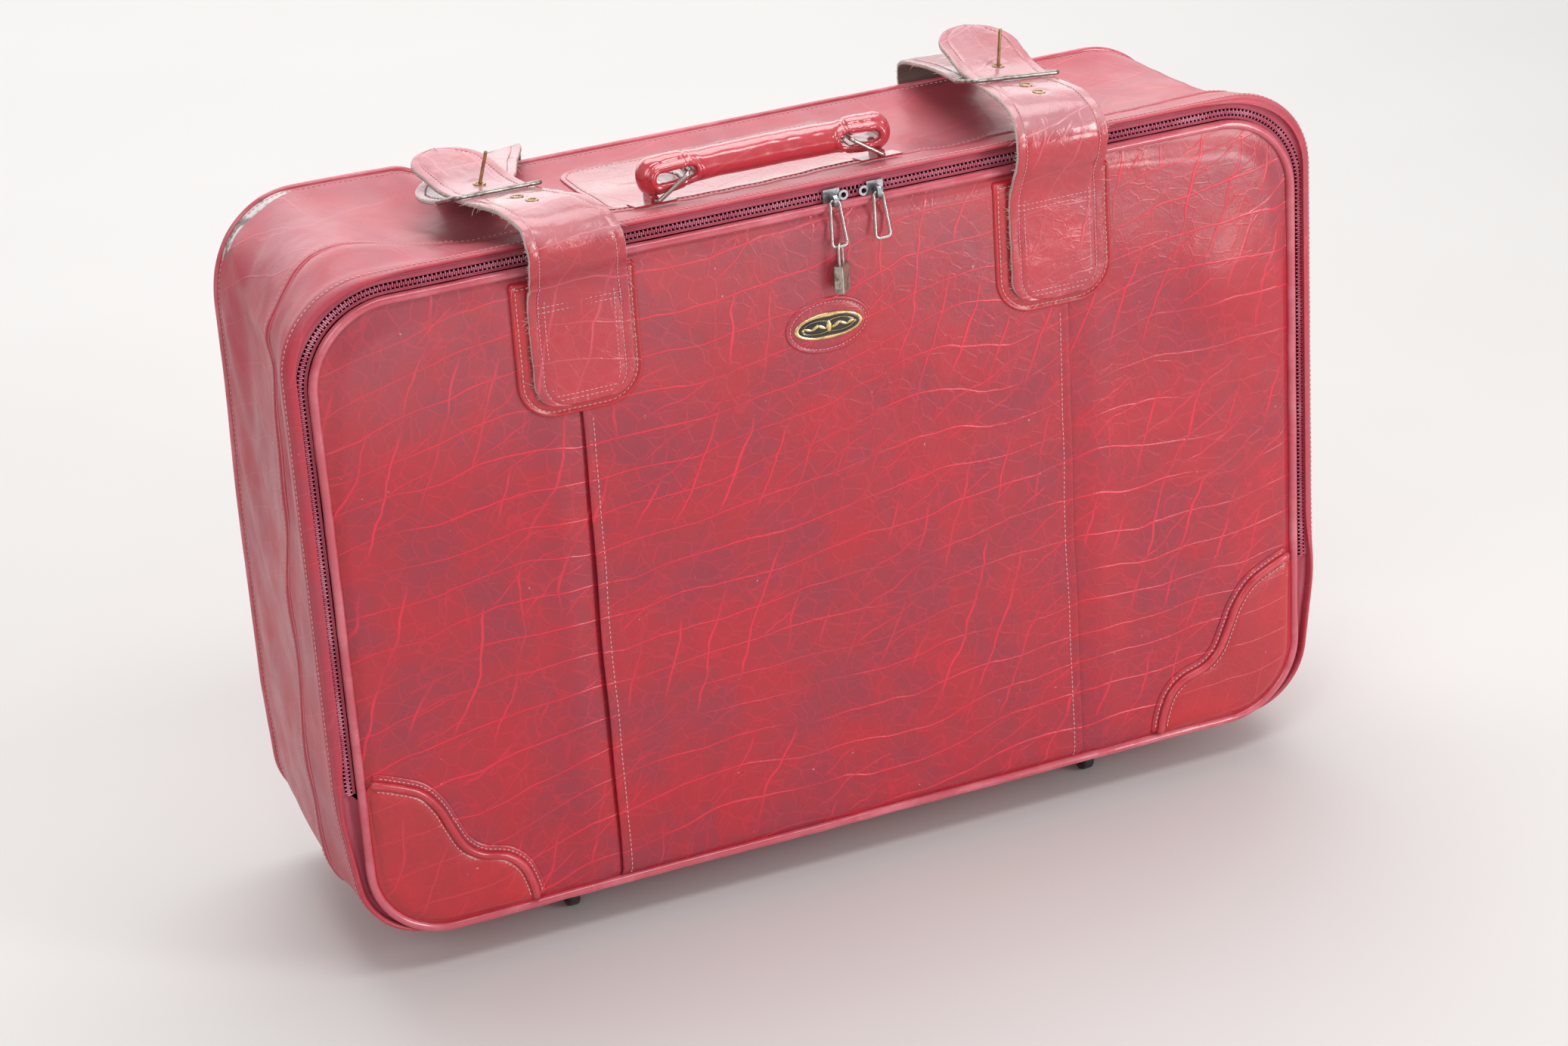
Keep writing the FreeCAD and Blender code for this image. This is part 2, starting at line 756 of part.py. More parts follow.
def bail(side):
    """A closed ring of wire: its foot turns in the anchor, and its top bar slides in the grip's slot."""
    s = -1 if side == "left" else 1
    foot = bail_pivot(side)
    lean = math.radians(BAIL_LEAN)
    rise = V(-s * math.sin(lean), 0, math.cos(lean)) * BAIL_L
    half = V(0, BAIL_HALF_W, 0)
    points = [foot - half, foot + half, foot + half + rise, foot - half + rise]
    return wire_ring(points, 2.5, BAIL_WIRE_R)


def handle_anchors():
    """The two sewn tabs that hold the bails: a pad on the case and a sleeve round each bail's foot."""
    anchors = []
    for side in ("left", "right"):
        p = bail_pivot(side)
        half = 7.5
        sleeve = rod(p - V(0, half, 0), p + V(0, half, 0), 2.9)
        foot = box(V(p.x - 2.9, p.y - half, p.z - 8), V(p.x + 2.9, p.y + half, p.z))
        pad = surface_plate(p.x - 15, p.x + 15, HANDLE_BACK - 9.5, HANDLE_BACK + 7.5, 1.3)
        bore = rod(p - V(0, 20, 0), p + V(0, 20, 0), BAIL_WIRE_R + RUNNING)
        anchors.append(sleeve.fuse(foot).cut(below_top()).fuse(pad).cut(bore))
    return group(anchors)


def top_height(distance):
    """The height of the case's top surface above its bottom, at a distance back."""
    return case_station(distance)[3]


def surface_plate(x0, x1, d0, d1, thickness):
    """A thin plate that lies on the case's top between two distances back."""
    low = [V(x0, back(d), up(top_height(d) + 0.05)) for d in (d0, d1)]
    high = [V(p.x, p.y, p.z + thickness) for p in reversed(low)]
    face = Part.Face(Part.makePolygon(low + high + low[:1]))
    return face.extrude(V(x1 - x0, 0, 0))


def below_top():
    """The space under the front band's top surface."""
    low = [V(-300, back(d), up(top_height(d) + 0.05)) for d in (0, WELT_BACK)]
    deep = [V(p.x, p.y, p.z - 60) for p in reversed(low)]
    return Part.Face(Part.makePolygon(low + deep + low[:1])).extrude(V(600, 0, 0))


def handle_patch():
    """The vinyl patch behind the handle that takes the wear of the hand."""
    return surface_plate(HANDLE_X - 105, HANDLE_X + 105, WELT_BACK + 6, CASE_DEPTH - 30, 1.3)


# ---- castors ----

def castor_point(name):
    """The foot of a castor's kingpin axis: front or back, left or right."""
    x = CASTOR_X if name.endswith("right") else -CASTOR_X
    return V(x, back(CASTOR_BACK[0 if name.startswith("front") else 1]), 0)


CASTORS = ("front_left", "front_right", "back_left", "back_right")
PLATE_T = 1.5
DISC_TOP = 33.8
DISC_T = 1.6


def castor_plates():
    """Each castor's mounting plate, with its kingpin and four rivets."""
    plates = []
    for name in CASTORS:
        p = castor_point(name)
        top = BOTTOM_Z - 0.02
        plate = box(V(p.x - 19, p.y - 15, top - PLATE_T), V(p.x + 19, p.y + 15, top))
        pin = rod(V(p.x, p.y, 30.6), V(p.x, p.y, top - 0.5), KINGPIN_R)
        head = rod(V(p.x, p.y, 30.0), V(p.x, p.y, 31.6), 4.2)
        plate = plate.fuse(pin).fuse(head)
        for dx in (-14.5, 14.5):
            for dy in (-10.5, 10.5):
                low = top - PLATE_T - 1.2
                plate = plate.fuse(rod(V(p.x + dx, p.y + dy, low), V(p.x + dx, p.y + dy, top - 0.5), 2.4))
        plates.append(plate)
    return group(plates)


def wheel_centre(name):
    return castor_point(name) + V(0, TRAIL, WHEEL_R)


def castor_fork(name):
    """The swivelling fork: a disc under the plate, two ears, and the axle pressed between them."""
    p = castor_point(name)
    c = wheel_centre(name)
    disc = rod(V(p.x, p.y, DISC_TOP - DISC_T), V(p.x, p.y, DISC_TOP), 9.5)
    fork = disc
    for s in (-1, 1):
        inner = s * (WHEEL_W / 2 + 0.6)
        outer = inner + s * 1.3
        x0, x1 = sorted((p.x + inner, p.x + outer))
        corners = [
            V(x0, p.y - 6, DISC_TOP - 0.3),
            V(x0, p.y + 7.5, DISC_TOP - 0.3),
            V(x0, c.y + 4, c.z),
            V(x0, c.y + 2.5, c.z - 3.6),
            V(x0, c.y - 2.5, c.z - 3.6),
            V(x0, c.y - 4.5, c.z),
        ]
        ear = Part.Face(Part.makePolygon(corners + corners[:1])).extrude(V(x1 - x0, 0, 0))
        fork = fork.fuse(ear)
    fork = fork.cut(rod(V(p.x, p.y, 20), V(p.x, p.y, 40), KINGPIN_R + RUNNING))
    fork = fork.cut(rod(V(p.x, p.y, 24), V(p.x, p.y, DISC_TOP - DISC_T), 4.3))
    reach = V(WHEEL_W / 2 + 2.6, 0, 0)
    axle = rod(c - reach, c + reach, AXLE_R)
    return group([fork.fuse(axle)])


def castor_wheel(name):
    c = wheel_centre(name)
    half = V(WHEEL_W / 2, 0, 0)
    tread = rod(c - half, c + half, WHEEL_R)
    tread = tread.makeFillet(1.2, [e for e in tread.Edges if abs(e.Length - 2 * math.pi * WHEEL_R) < 1])
    hub = rod(c - half * 2, c + half * 2, 3)
    recesses = []
    for s in (-1, 1):
        recesses.append(rod(c + half * s * 0.7, c + half * s * 2, WHEEL_R - 4).cut(hub))
    for recess in recesses:
        tread = tread.cut(recess)
    return tread.cut(rod(c - half * 2, c + half * 2, AXLE_R + RUNNING))


# ---- all nodes ----

NODES = {
    "gusset_front_band": gusset_front_band,
    "gusset_back_band": gusset_back_band,
    "gusset_mid_welt": gusset_mid_welt,
    "front_edge_binding": front_edge_binding,
    "back_panel": back_panel,
    "back_piping": back_piping,
    "zip_tape_case": zip_tape_case,
    "zip_teeth_case": zip_teeth_case,
    "frame_hoops": frame_hoops,
    "base_board": base_board,
    "back_board": back_board,
    "gusset_lining": gusset_lining,
    "back_lining": back_lining,
    "packing_straps": packing_straps,
    "packing_clasps": packing_clasps,
    "handle_patch": handle_patch,
    "handle_anchors": handle_anchors,
    "castor_plates": castor_plates,
    "front_panel_left": front_panel_left,
    "front_panel_centre": front_panel_centre,
    "front_panel_right": front_panel_right,
    "lid_board": lid_board,
    "lid_lining": lid_lining,
    "lid_pocket": lid_pocket,
    "lid_piping": lid_piping,
    "zip_tape_lid": zip_tape_lid,
    "zip_teeth_lid": zip_teeth_lid,
    "corner_patches": corner_patches,
    "corner_welts": corner_welts,
    "strap_underlays": strap_underlays,
    "badge_patch": badge_patch,
    "badge_plate": badge_plate,
    "padlock_shackle": padlock_shackle,
    "padlock_body": padlock_body,
    "handle_grip": handle_grip,
    "handle_core": handle_core,
}
SIDED = {
    "front_strap": front_strap,
    "strap_eyelets": eyelets,
    "rear_strap": rear_strap,
    "buckle_frame": buckle_frame,
    "buckle_prong": prong,
    "zip_slider": slider,
    "zip_puller": puller,
    "handle_bail": bail,
}


def all_nodes():
    """Every node's name and shape."""
    for name, make in NODES.items():
        yield name, make()
    for name, make in SIDED.items():
        for side in ("left", "right"):
            yield f"{name}_{side}", make(side)
    for name in CASTORS:
        yield f"castor_fork_{name}", castor_fork(name)
        yield f"castor_wheel_{name}", castor_wheel(name)


def main():
    os.makedirs("parts", exist_ok=True)
    whole = FreeCAD.BoundBox()
    for name, shape in all_nodes():
        if not shape.isValid() or shape.Volume <= 0:
            print("BAD", name, shape.isValid(), shape.Volume)
        shape.exportStep(f"parts/{name}.step")
        size = shape.optimalBoundingBox(False, False)
        whole.add(size)
        print(f"{name}: {len(shape.Solids)} solids, {shape.Volume / 1000:.2f} cm3")
    print("whole object", whole)


if __name__ == "__main__":
    main()
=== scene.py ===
"""The looks of a vintage soft-sided suitcase: marbled vinyl, piping, zip, straps, handle and castors.

Shapes are worked out in case millimetres: x to the right, d behind the lid's front plane,
h above the case's bottom.
"""
import json
import math

import bmesh
import bpy
import numpy as np
from mathutils import Matrix, Vector
from mathutils.bvhtree import BVHTree
from mathutils.noise import noise

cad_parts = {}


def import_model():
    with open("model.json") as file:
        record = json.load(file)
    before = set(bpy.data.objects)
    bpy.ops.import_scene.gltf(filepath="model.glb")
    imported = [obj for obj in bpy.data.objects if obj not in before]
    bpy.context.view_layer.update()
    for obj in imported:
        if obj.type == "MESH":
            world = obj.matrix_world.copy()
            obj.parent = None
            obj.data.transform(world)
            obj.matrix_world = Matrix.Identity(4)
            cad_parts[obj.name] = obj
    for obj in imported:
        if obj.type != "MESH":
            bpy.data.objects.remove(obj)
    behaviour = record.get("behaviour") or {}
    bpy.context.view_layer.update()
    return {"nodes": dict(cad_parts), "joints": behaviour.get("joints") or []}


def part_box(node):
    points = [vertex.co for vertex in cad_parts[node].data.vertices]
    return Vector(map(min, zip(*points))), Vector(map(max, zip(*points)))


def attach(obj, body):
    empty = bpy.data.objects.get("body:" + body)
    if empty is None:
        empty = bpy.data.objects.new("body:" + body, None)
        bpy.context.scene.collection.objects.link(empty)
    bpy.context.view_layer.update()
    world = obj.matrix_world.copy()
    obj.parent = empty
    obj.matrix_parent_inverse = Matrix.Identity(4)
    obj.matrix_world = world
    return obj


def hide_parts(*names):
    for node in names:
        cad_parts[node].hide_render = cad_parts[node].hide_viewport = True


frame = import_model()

MM = 0.001
SIDES = {"left": -1, "right": 1}

# ---- where the frame is ----
PIPE_LOW, PIPE_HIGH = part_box("lid_piping")
PIPE_R = (PIPE_HIGH.y - PIPE_LOW.y) / 2 / MM
FRONT = (PIPE_LOW.y + PIPE_HIGH.y) / 2
BASE = PIPE_LOW.z + PIPE_R * MM
HALF_W = PIPE_HIGH.x / MM - PIPE_R
HEIGHT = (PIPE_HIGH.z - BASE) / MM - PIPE_R
CORNER_R = 56.0
DEPTH = 215.0
ZIP_OFFSET = 8.0
ZIP_END_H = 118.0
WELT_D = 58.0
SEAM_X = 180.0
# Case outline: (d, half width at the bottom, at the knee, at the top, top height)
STATIONS = (
    (0.0, 364.0, 378.0, 378.0, 485.0),
    (WELT_D, 366.0, 377.0, 377.0, 474.0),
    (DEPTH, 362.0, 367.0, 367.0, 460.0),
)
KNEE_H = 110.0
SHELL_R = (52.0, 62.0, 300.0)


def world(points):
    """Case millimetres to metres in the frame."""
    return np.asarray(points, float) * MM + np.array([0.0, FRONT, BASE])


def local(vector):
    """Metres in the frame to case millimetres."""
    return (np.asarray(vector, float) - np.array([0.0, FRONT, BASE])) / MM


def middle(node):
    low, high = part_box(node)
    return local((low + high) / 2)


def smooth(t):
    t = np.clip(t, 0.0, 1.0)
    return t * t * (3 - 2 * t)


def bump(x, centre, width):
    return np.exp(-((np.asarray(x, float) - centre) / width) ** 2)


def quarter_round(t):
    """A rise from 0 to 1 like a quarter of a circle."""
    return np.sqrt(np.clip(1 - (1 - np.minimum(t, 1)) ** 2, 0, 1))


def full_turn(count):
    """Angles evenly round a circle."""
    return np.linspace(0, 2 * math.pi, count, endpoint=False)


def rumple(points, size, seed=0.0):
    """Smooth noise from -1 to 1 at each point, with features of about this size."""
    shift = np.array([seed * 17.3, seed * 9.1, seed * 5.7])
    return np.array([noise(Vector(p / size + shift)) for p in np.asarray(points, float)])


# ---- meshes ----
def grid_faces(rows, cols, closed=False, loop=False):
    """Quads between rows of points. closed joins the last column to the first, loop the last row."""
    r = np.arange(rows if loop else rows - 1)[:, None]
    c = np.arange(cols if closed else cols - 1)[None, :]
    r1, c1 = (r + 1) % rows, (c + 1) % cols
    quads = np.stack([r * cols + c, r * cols + c1, r1 * cols + c1, r1 * cols + c], axis=-1)
    return quads.reshape(-1, 4)


def tuples(faces):
    return [tuple(face) for face in faces]


def tube_faces(count, rows, cols):
    """Quads round separate tubes whose points follow one another."""
    starts = np.arange(count) * rows * cols
    return tuples((grid_faces(rows, cols, closed=True)[None] + starts[:, None, None]).reshape(-1, 4))


def end_caps(rows, cols):
    """Faces over the first and the last ring of a tube."""
    last = (rows - 1) * cols
    return [tuple(range(cols))[::-1], tuple(range(last, last + cols))]


def piece(name, points, faces, material, body, replaces=(), slot=None):
    """A mesh piece from case millimetres, riding on a body. The points may be rows of points."""
    mesh = bpy.data.meshes.new(name)
    faces = faces if isinstance(faces, list) else faces.tolist()
    mesh.from_pydata(world(np.asarray(points, float).reshape(-1, 3)).tolist(), [], faces)
    mesh.validate()
    mesh.polygons.foreach_set("use_smooth", [True] * len(mesh.polygons))
    obj = bpy.data.objects.new(name, mesh)
    bpy.context.scene.collection.objects.link(obj)
    mesh.materials.append(material)
    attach(obj, body)
    if replaces:
        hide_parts(*replaces)
    return obj


def vertices(mesh, what="co"):
    """A mesh's points, or their normals."""
    flat = np.empty(len(mesh.vertices) * 3)
    mesh.vertices.foreach_get(what, flat)
    return flat.reshape(-1, 3)


def apply_modifiers(obj):
    """Apply the object's modifiers to its mesh."""
    graph = bpy.context.evaluated_depsgraph_get()
    mesh = bpy.data.meshes.new_from_object(obj.evaluated_get(graph))
    obj.modifiers.clear()
    obj.data = mesh


def join(parts):
    """Several (points, faces) as one."""
    points, faces, start = [], [], 0
    for p, f in parts:
        points.append(np.asarray(p, float))
        faces += [tuple(int(i) + start for i in face) for face in f]
        start += len(p)
    return np.concatenate(points), faces


# ---- paths ----
def arc_corner(before, corner, after, radius, count):
    """The points of one rounded corner."""
    to_a = (before - corner) / np.linalg.norm(before - corner)
    to_b = (after - corner) / np.linalg.norm(after - corner)
    half = math.acos(np.clip(to_a @ to_b, -1, 1)) / 2
    centre = corner + (to_a + to_b) / np.linalg.norm(to_a + to_b) * radius / math.sin(half)
    start = corner + to_a * radius / math.tan(half)
    turn = math.pi - 2 * half
    spin = np.sign(to_b[0] * to_a[1] - to_b[1] * to_a[0]) or 1.0
    angles = np.linspace(0, turn, count) * spin * -1
    arm = start - centre
    c, s = np.cos(angles), np.sin(angles)
    arc = np.stack([c * arm[0] - s * arm[1], s * arm[0] + c * arm[1]], axis=1)
    if np.linalg.norm(centre + arc[-1] - (corner + to_b * radius / math.tan(half))) > 1e-3:
        arc = np.stack([c * arm[0] + s * arm[1], -s * arm[0] + c * arm[1]], axis=1)
    return centre + arc


def rounded(corners, radii, arc_counts, run_counts):
    """A closed outline with rounded corners, with set numbers of points, so that outlines can be lofted."""
    corners = np.asarray(corners, float)
    turns = zip(np.roll(corners, 1, axis=0), corners, np.roll(corners, -1, axis=0), radii, arc_counts)
    arcs = [arc_corner(*turn) for turn in turns]
    points = []
    for arc, following, count in zip(arcs, arcs[1:] + arcs[:1], run_counts):
        a, b = arc[-1], following[0]
        t = np.linspace(0, 1, count + 2)[1:-1, None]
        points += [arc, a + (b - a) * t]
    return np.concatenate(points)


def panel_outline(grow=0.0, fine=1.0):
    """(x, h) round the lid, from the bottom left corner, anticlockwise."""
    w, low, high, r = HALF_W + grow, -grow, HEIGHT + grow, CORNER_R + grow
    corners = [(-w, low), (w, low), (w, high), (-w, high)]
    arc, wide, tall = int(22 * fine), int(150 * fine), int(88 * fine)
    return rounded(corners, [r] * 4, [arc] * 4, [wide, tall, wide, tall])


def station(d):
    for near, far in zip(STATIONS, STATIONS[1:]):
        if d <= far[0]:
            t = (d - near[0]) / (far[0] - near[0])
            return [a + (b - a) * t for a, b in zip(near, far)][1:]
    return list(STATIONS[-1][1:])


def case_outline(d, grow=0.0, fine=1.0):
    """(x, h) round the case at a distance back, from the bottom left corner, anticlockwise."""
    low_w, knee_w, top_w, top = station(d)
    corners = [
        (-low_w - grow, -grow), (low_w + grow, -grow), (knee_w + grow, KNEE_H),
        (top_w + grow, top + grow), (-top_w - grow, top + grow), (-knee_w - grow, KNEE_H),
    ]
    low_r, high_r, knee_r = SHELL_R[0] + grow, SHELL_R[1] + grow, SHELL_R[2]
    arcs = [int(n * fine) for n in (16, 16, 6, 18, 18, 6)]
    runs = [int(n * fine) for n in (90, 6, 44, 90, 44, 6)]
    return rounded(corners, [low_r, low_r, knee_r, high_r, high_r, knee_r], arcs, runs)


def flat_path(outline, d):
    """An (x, h) outline as a path at a distance back."""
    return np.stack([outline[:, 0], np.full(len(outline), float(d)), outline[:, 1]], axis=1)


def outward(outline):
    """The outward direction at each point of a closed (x, h) outline that runs anticlockwise."""
    along = np.roll(outline, -1, axis=0) - np.roll(outline, 1, axis=0)
    along /= np.linalg.norm(along, axis=1)[:, None]
    return np.stack([along[:, 1], np.zeros(len(along)), -along[:, 0]], axis=1)


def unit(v):
    return v / np.maximum(np.linalg.norm(v, axis=-1, keepdims=True), 1e-9)


def tangents(path, closed=False):
    if closed:
        return unit(np.roll(path, -1, axis=0) - np.roll(path, 1, axis=0))
    return unit(np.gradient(path, axis=0))


def resample(path, step, closed=False, extras=None):
    """Points every step along a path, with extra columns carried along."""
    data = path if extras is None else np.concatenate([path, extras], axis=1)
    if closed:
        data = np.concatenate([data, data[:1]])
    lengths = np.concatenate([[0], np.cumsum(np.linalg.norm(np.diff(data[:, :3], axis=0), axis=1))])
    count = max(int(round(lengths[-1] / step)), 1)
    at = np.linspace(0, lengths[-1], count + 1)
    if closed:
        at = at[:-1]
    out = np.stack([np.interp(at, lengths, data[:, k]) for k in range(data.shape[1])], axis=1)
    return out[:, :3] if extras is None else (out[:, :3], out[:, 3:])


def spline(points, step):
    """A smooth path through points, sampled every step (Catmull-Rom)."""
    p = np.asarray(points, float)
    ends = np.concatenate([[2 * p[0] - p[1]], p, [2 * p[-1] - p[-2]]])
    out = []
    for a, b, c, e in zip(ends, ends[1:], ends[2:], ends[3:]):
        count = max(int(np.linalg.norm(c[:3] - b[:3]) / step), 2)
        t = np.linspace(0, 1, count, endpoint=False)[:, None]
        square, cube = 2 * a - 5 * b + 4 * c - e, 3 * b - a - 3 * c + e
        out.append(0.5 * (2 * b + (c - a) * t + square * t**2 + cube * t**3))
    return np.concatenate(out + [p[-1:]])


def sweep(path, normals, profile, closed=False):
    """A profile of (sideways, along the normal) points, or one per point, swept along a path."""
    along = tangents(path, closed)
    side = unit(np.cross(along, normals))
    normal = unit(np.cross(side, along))
    profile = np.asarray(profile, float)
    if profile.ndim == 2:
        profile = np.repeat(profile[None], len(path), axis=0)
    points = path[:, None] + side[:, None] * profile[:, :, :1] + normal[:, None] * profile[:, :, 1:2]
    rows, cols = points.shape[:2]
    faces = tuples(grid_faces(rows, cols, closed=True, loop=closed))
    if not closed:
        faces += end_caps(rows, cols)
    return points.reshape(-1, 3), faces


def circle(radius, count=12, squash=1.0):
    a = full_turn(count)
    return np.stack([np.cos(a) * radius, np.sin(a) * radius * squash], axis=1)


def stitch_mesh(path, normals, pitch=3.6, length=2.5, radius=0.42, closed=False, sink=0.1):
    """Separate stitches along a path, each a small capsule bent down at its ends."""
    spots, normals = resample(path, pitch, closed, normals)
    along = tangents(spots, closed)
    normals = unit(normals)
    side = unit(np.cross(along, normals))
    shifts = np.array([-0.5, -0.36, 0.0, 0.36, 0.5]) * length
    radii = np.array([0.35, 0.9, 1.0, 0.9, 0.35]) * radius
    heights = np.array([-0.5, 0.0, 0.3, 0.0, -0.5]) * radius - sink
    a = full_turn(5)
    wobble = np.sin(np.arange(len(spots)) * 12.9898) * 0.12
    rings = []
    for shift, r, height in zip(shifts, radii, heights):
        centre = spots + along * shift + normals * height + side * (wobble * (1 + shift / length))[:, None]
        rings.append([centre + side * (math.cos(t) * r) + normals * (math.sin(t) * r) for t in a])
    points = np.asarray(rings).transpose(2, 0, 1, 3)
    return points.reshape(-1, 3), tube_faces(len(spots), len(shifts), len(a))


# ---- materials ----
class Shader:
    """A material under construction: a Principled surface and short ways to add nodes to it."""

    def __init__(self, name, color, roughness, metallic=0.0, **sockets):
        self.material = bpy.data.materials.new(name)
        self.material.use_nodes = True
        self.tree = self.material.node_tree
        self.surface = self.tree.nodes["Principled BSDF"]
        self.set("Base Color", (*color, 1.0))
        self.set("Roughness", roughness)
        self.set("Metallic", metallic)
        for name, value in sockets.items():
            self.set(name.replace("_", " "), value)

    def set(self, socket, value):
        self.plug(self.surface.inputs[socket], value)

    def plug(self, socket, value):
        if isinstance(value, bpy.types.NodeSocket):
            self.tree.links.new(value, socket)
        else:
            socket.default_value = value

    def node(self, kind, inputs=(), **settings):
        made = self.tree.nodes.new("ShaderNode" + kind)
        for key, value in settings.items():
            setattr(made, key, value)
        for key, value in dict(inputs).items():
            self.plug(made.inputs[key], value)
        return made

    def place(self):
        return self.node("TexCoord").outputs["Object"]

    def math(self, operation, a, b=0.0, clamp=False):
        return self.node("Math", {0: a, 1: b}, operation=operation, use_clamp=clamp).outputs[0]

    def vector(self, operation, a, b=(0, 0, 0), scale=1.0):
        made = self.node("VectorMath", {0: a, 1: b}, operation=operation)
        if operation == "SCALE":
            self.plug(made.inputs["Scale"], scale)
        return made.outputs["Value" if operation == "DOT_PRODUCT" else "Vector"]

    def noise(self, scale, detail=2.0, at=None, rough=0.5, color=False):
        inputs = {"Scale": scale, "Detail": detail, "Roughness": rough, "Vector": at or self.place()}
        return self.node("TexNoise", inputs).outputs["Color" if color else "Fac"]

    def ramp(self, value, low, high, to_low=0.0, to_high=1.0):
        inputs = {"Value": value, "From Min": low, "From Max": high, "To Min": to_low, "To Max": to_high}
        return self.node("MapRange", inputs, interpolation_type="SMOOTHSTEP").outputs["Result"]

    def mix(self, factor, a, b):
        made = self.node("Mix", data_type="RGBA")
        self.plug(made.inputs["Factor"], factor)
        for socket, value in ((6, a), (7, b)):
            self.plug(made.inputs[socket], (*value, 1.0) if isinstance(value, tuple) else value)
        return made.outputs[2]

    def warped(self, scale, amount, at=None):
        """Places pushed about by noise of this scale, by up to about this many metres."""
        at = at or self.place()
        push = self.vector("SUBTRACT", self.noise(scale, 2.0, at, color=True), (0.5, 0.5, 0.5))
        return self.vector("ADD", at, self.vector("SCALE", push, scale=amount * 2))

    def lines(self, at, direction, per_metre, width):
        """Long wavering lines across a direction, so many to a metre; width is a share of their spacing."""
        phase = self.math("MULTIPLY", self.vector("DOT_PRODUCT", at, direction), per_metre)
        off = self.math("ABSOLUTE", self.math("SUBTRACT", self.math("FRACT", phase), 0.5))
        return self.ramp(off, 0.0, width, 1.0, 0.0)

    def relief(self, height, distance, strength=1.0):
        inputs = {"Height": height, "Distance": distance, "Strength": strength}
        self.set("Normal", self.node("Bump", inputs).outputs["Normal"])

    def sum(self, *terms):
        """A sum of (socket, weight) terms."""
        total = None
        for socket, weight in terms:
            part = self.math("MULTIPLY", socket, weight)
            total = part if total is None else self.math("ADD", total, part)
        return total


# A whitish film for up-facing vinyl (a dusty film and painted sheen), a paler tint for a painted sheen high
# on the lid, and the vinyl's own pale specks.
DUST_SHEEN_TINT, SHEEN_TINT, SPECK = (0.62, 0.48, 0.51), (0.62, 0.42, 0.46), (0.8, 0.7, 0.68)
BARE_CLOTH = (0.62, 0.60, 0.58), (0.15, 0.14, 0.13)


def vinyl(name, plum, red, vein, veins=1.0, roughness=0.3, dust_and_sheen=0.0, wear=None, specular=0.5, coat=0.25,
          relief=0.62, top_sheen=0.0):
    """Glossy vinyl printed and embossed like hide: mottled, with thin brighter creases."""
    s = Shader(name, red, roughness, Specular_IOR_Level=specular, Coat_Weight=coat, Coat_Roughness=0.12)
    at = s.place()
    broad = s.warped(9.0, 0.012, s.warped(3.5, 0.040, at))
    bent = s.warped(34.0, 0.0045, broad)
    gentle = s.warped(40.0, 0.0016, broad)
    shown_a = s.ramp(s.noise(8.0, 2.0), 0.30, 0.54)
    shown_b = s.ramp(s.noise(15.0, 2.0, s.vector("ADD", at, (3.1, 1.7, 5.3))), 0.44, 0.64)
    shown_c = s.ramp(s.noise(18.0, 2.0, s.vector("ADD", at, (7.7, 2.9, 1.1))), 0.50, 0.64)
    long_lines = s.math("MULTIPLY", s.lines(gentle, (-0.10, 0.45, 1.0), 36.0, 0.036), shown_a)
    cross_lines = s.math("MULTIPLY", s.lines(bent, (1.0, 0.4, -0.34), 34.0, 0.050), shown_b)
    short_lines = s.math("MULTIPLY", s.lines(bent, (-0.52, -0.5, 0.9), 50.0, 0.05), shown_c)
    cells_at = {"Vector": s.warped(60.0, 0.003, bent), "Scale": 70.0}
    cells = s.node("TexVoronoi", cells_at, feature="DISTANCE_TO_EDGE")
    crackle = s.ramp(cells.outputs["Distance"], 0.0, 0.055, 1.0, 0.0)
    vein_mask = s.math("MAXIMUM", long_lines, cross_lines)
    for lines, share in ((short_lines, 0.7), (crackle, 0.22)):
        vein_mask = s.math("MAXIMUM", vein_mask, s.math("MULTIPLY", lines, share))
    mottle = s.ramp(s.noise(17.0, 6.0, bent, 0.66), 0.34, 0.66)
    shade = s.mix(mottle, plum, red)
    shade = s.mix(s.math("MULTIPLY", vein_mask, 0.85 * veins), shade, vein)
    specks = s.ramp(s.noise(260.0, 1.0), 0.80, 0.86)
    shade = s.mix(s.math("MULTIPLY", specks, 0.5), shade, SPECK)
    # Faces that turn up are whitened: partly a dusty film, partly painted sheen from the bright surroundings
    # they reflect.
    if dust_and_sheen:
        level = s.node("SeparateXYZ", {0: s.node("NewGeometry").outputs["Normal"]}).outputs["Z"]
        slopes = (0.05, 0.6) if dust_and_sheen > 0.5 else (0.2, 0.95)
        dust_sheen_film = s.math("MULTIPLY", s.ramp(level, *slopes), s.ramp(s.noise(9.0, 4.0), 0.25, 0.75, 0.4, 1.0))
        shade = s.mix(s.math("MULTIPLY", dust_sheen_film, dust_and_sheen), shade, DUST_SHEEN_TINT)
    # Painted sheen: the vinyl is made paler towards the top of the lid, in patches, for the sheen it catches.
    if top_sheen:
        height = s.node("SeparateXYZ", {0: at}).outputs["Z"]
        patches = s.ramp(s.noise(7.0, 4.0, bent), 0.3, 0.7, 0.3, 1.0)
        sheen_share = s.math("MULTIPLY", s.ramp(height, 0.34, 0.53), patches)
        shade = s.mix(s.math("MULTIPLY", sheen_share, top_sheen), shade, SHEEN_TINT)
    if wear:
        shade = wear(s, shade)
    s.set("Base Color", shade)
    grain = s.noise(700.0, 3.0)
    s.set("Roughness", s.ramp(s.noise(35.0, 4.0), 0.2, 0.8, roughness - 0.05, roughness + 0.12))
    pucker = s.noise(75.0, 3.0, bent)
    s.relief(s.sum((vein_mask, 0.34 * veins), (grain, 0.12), (pucker, 0.5), (mottle, 0.2)), 0.0013, relief)
    return s.material


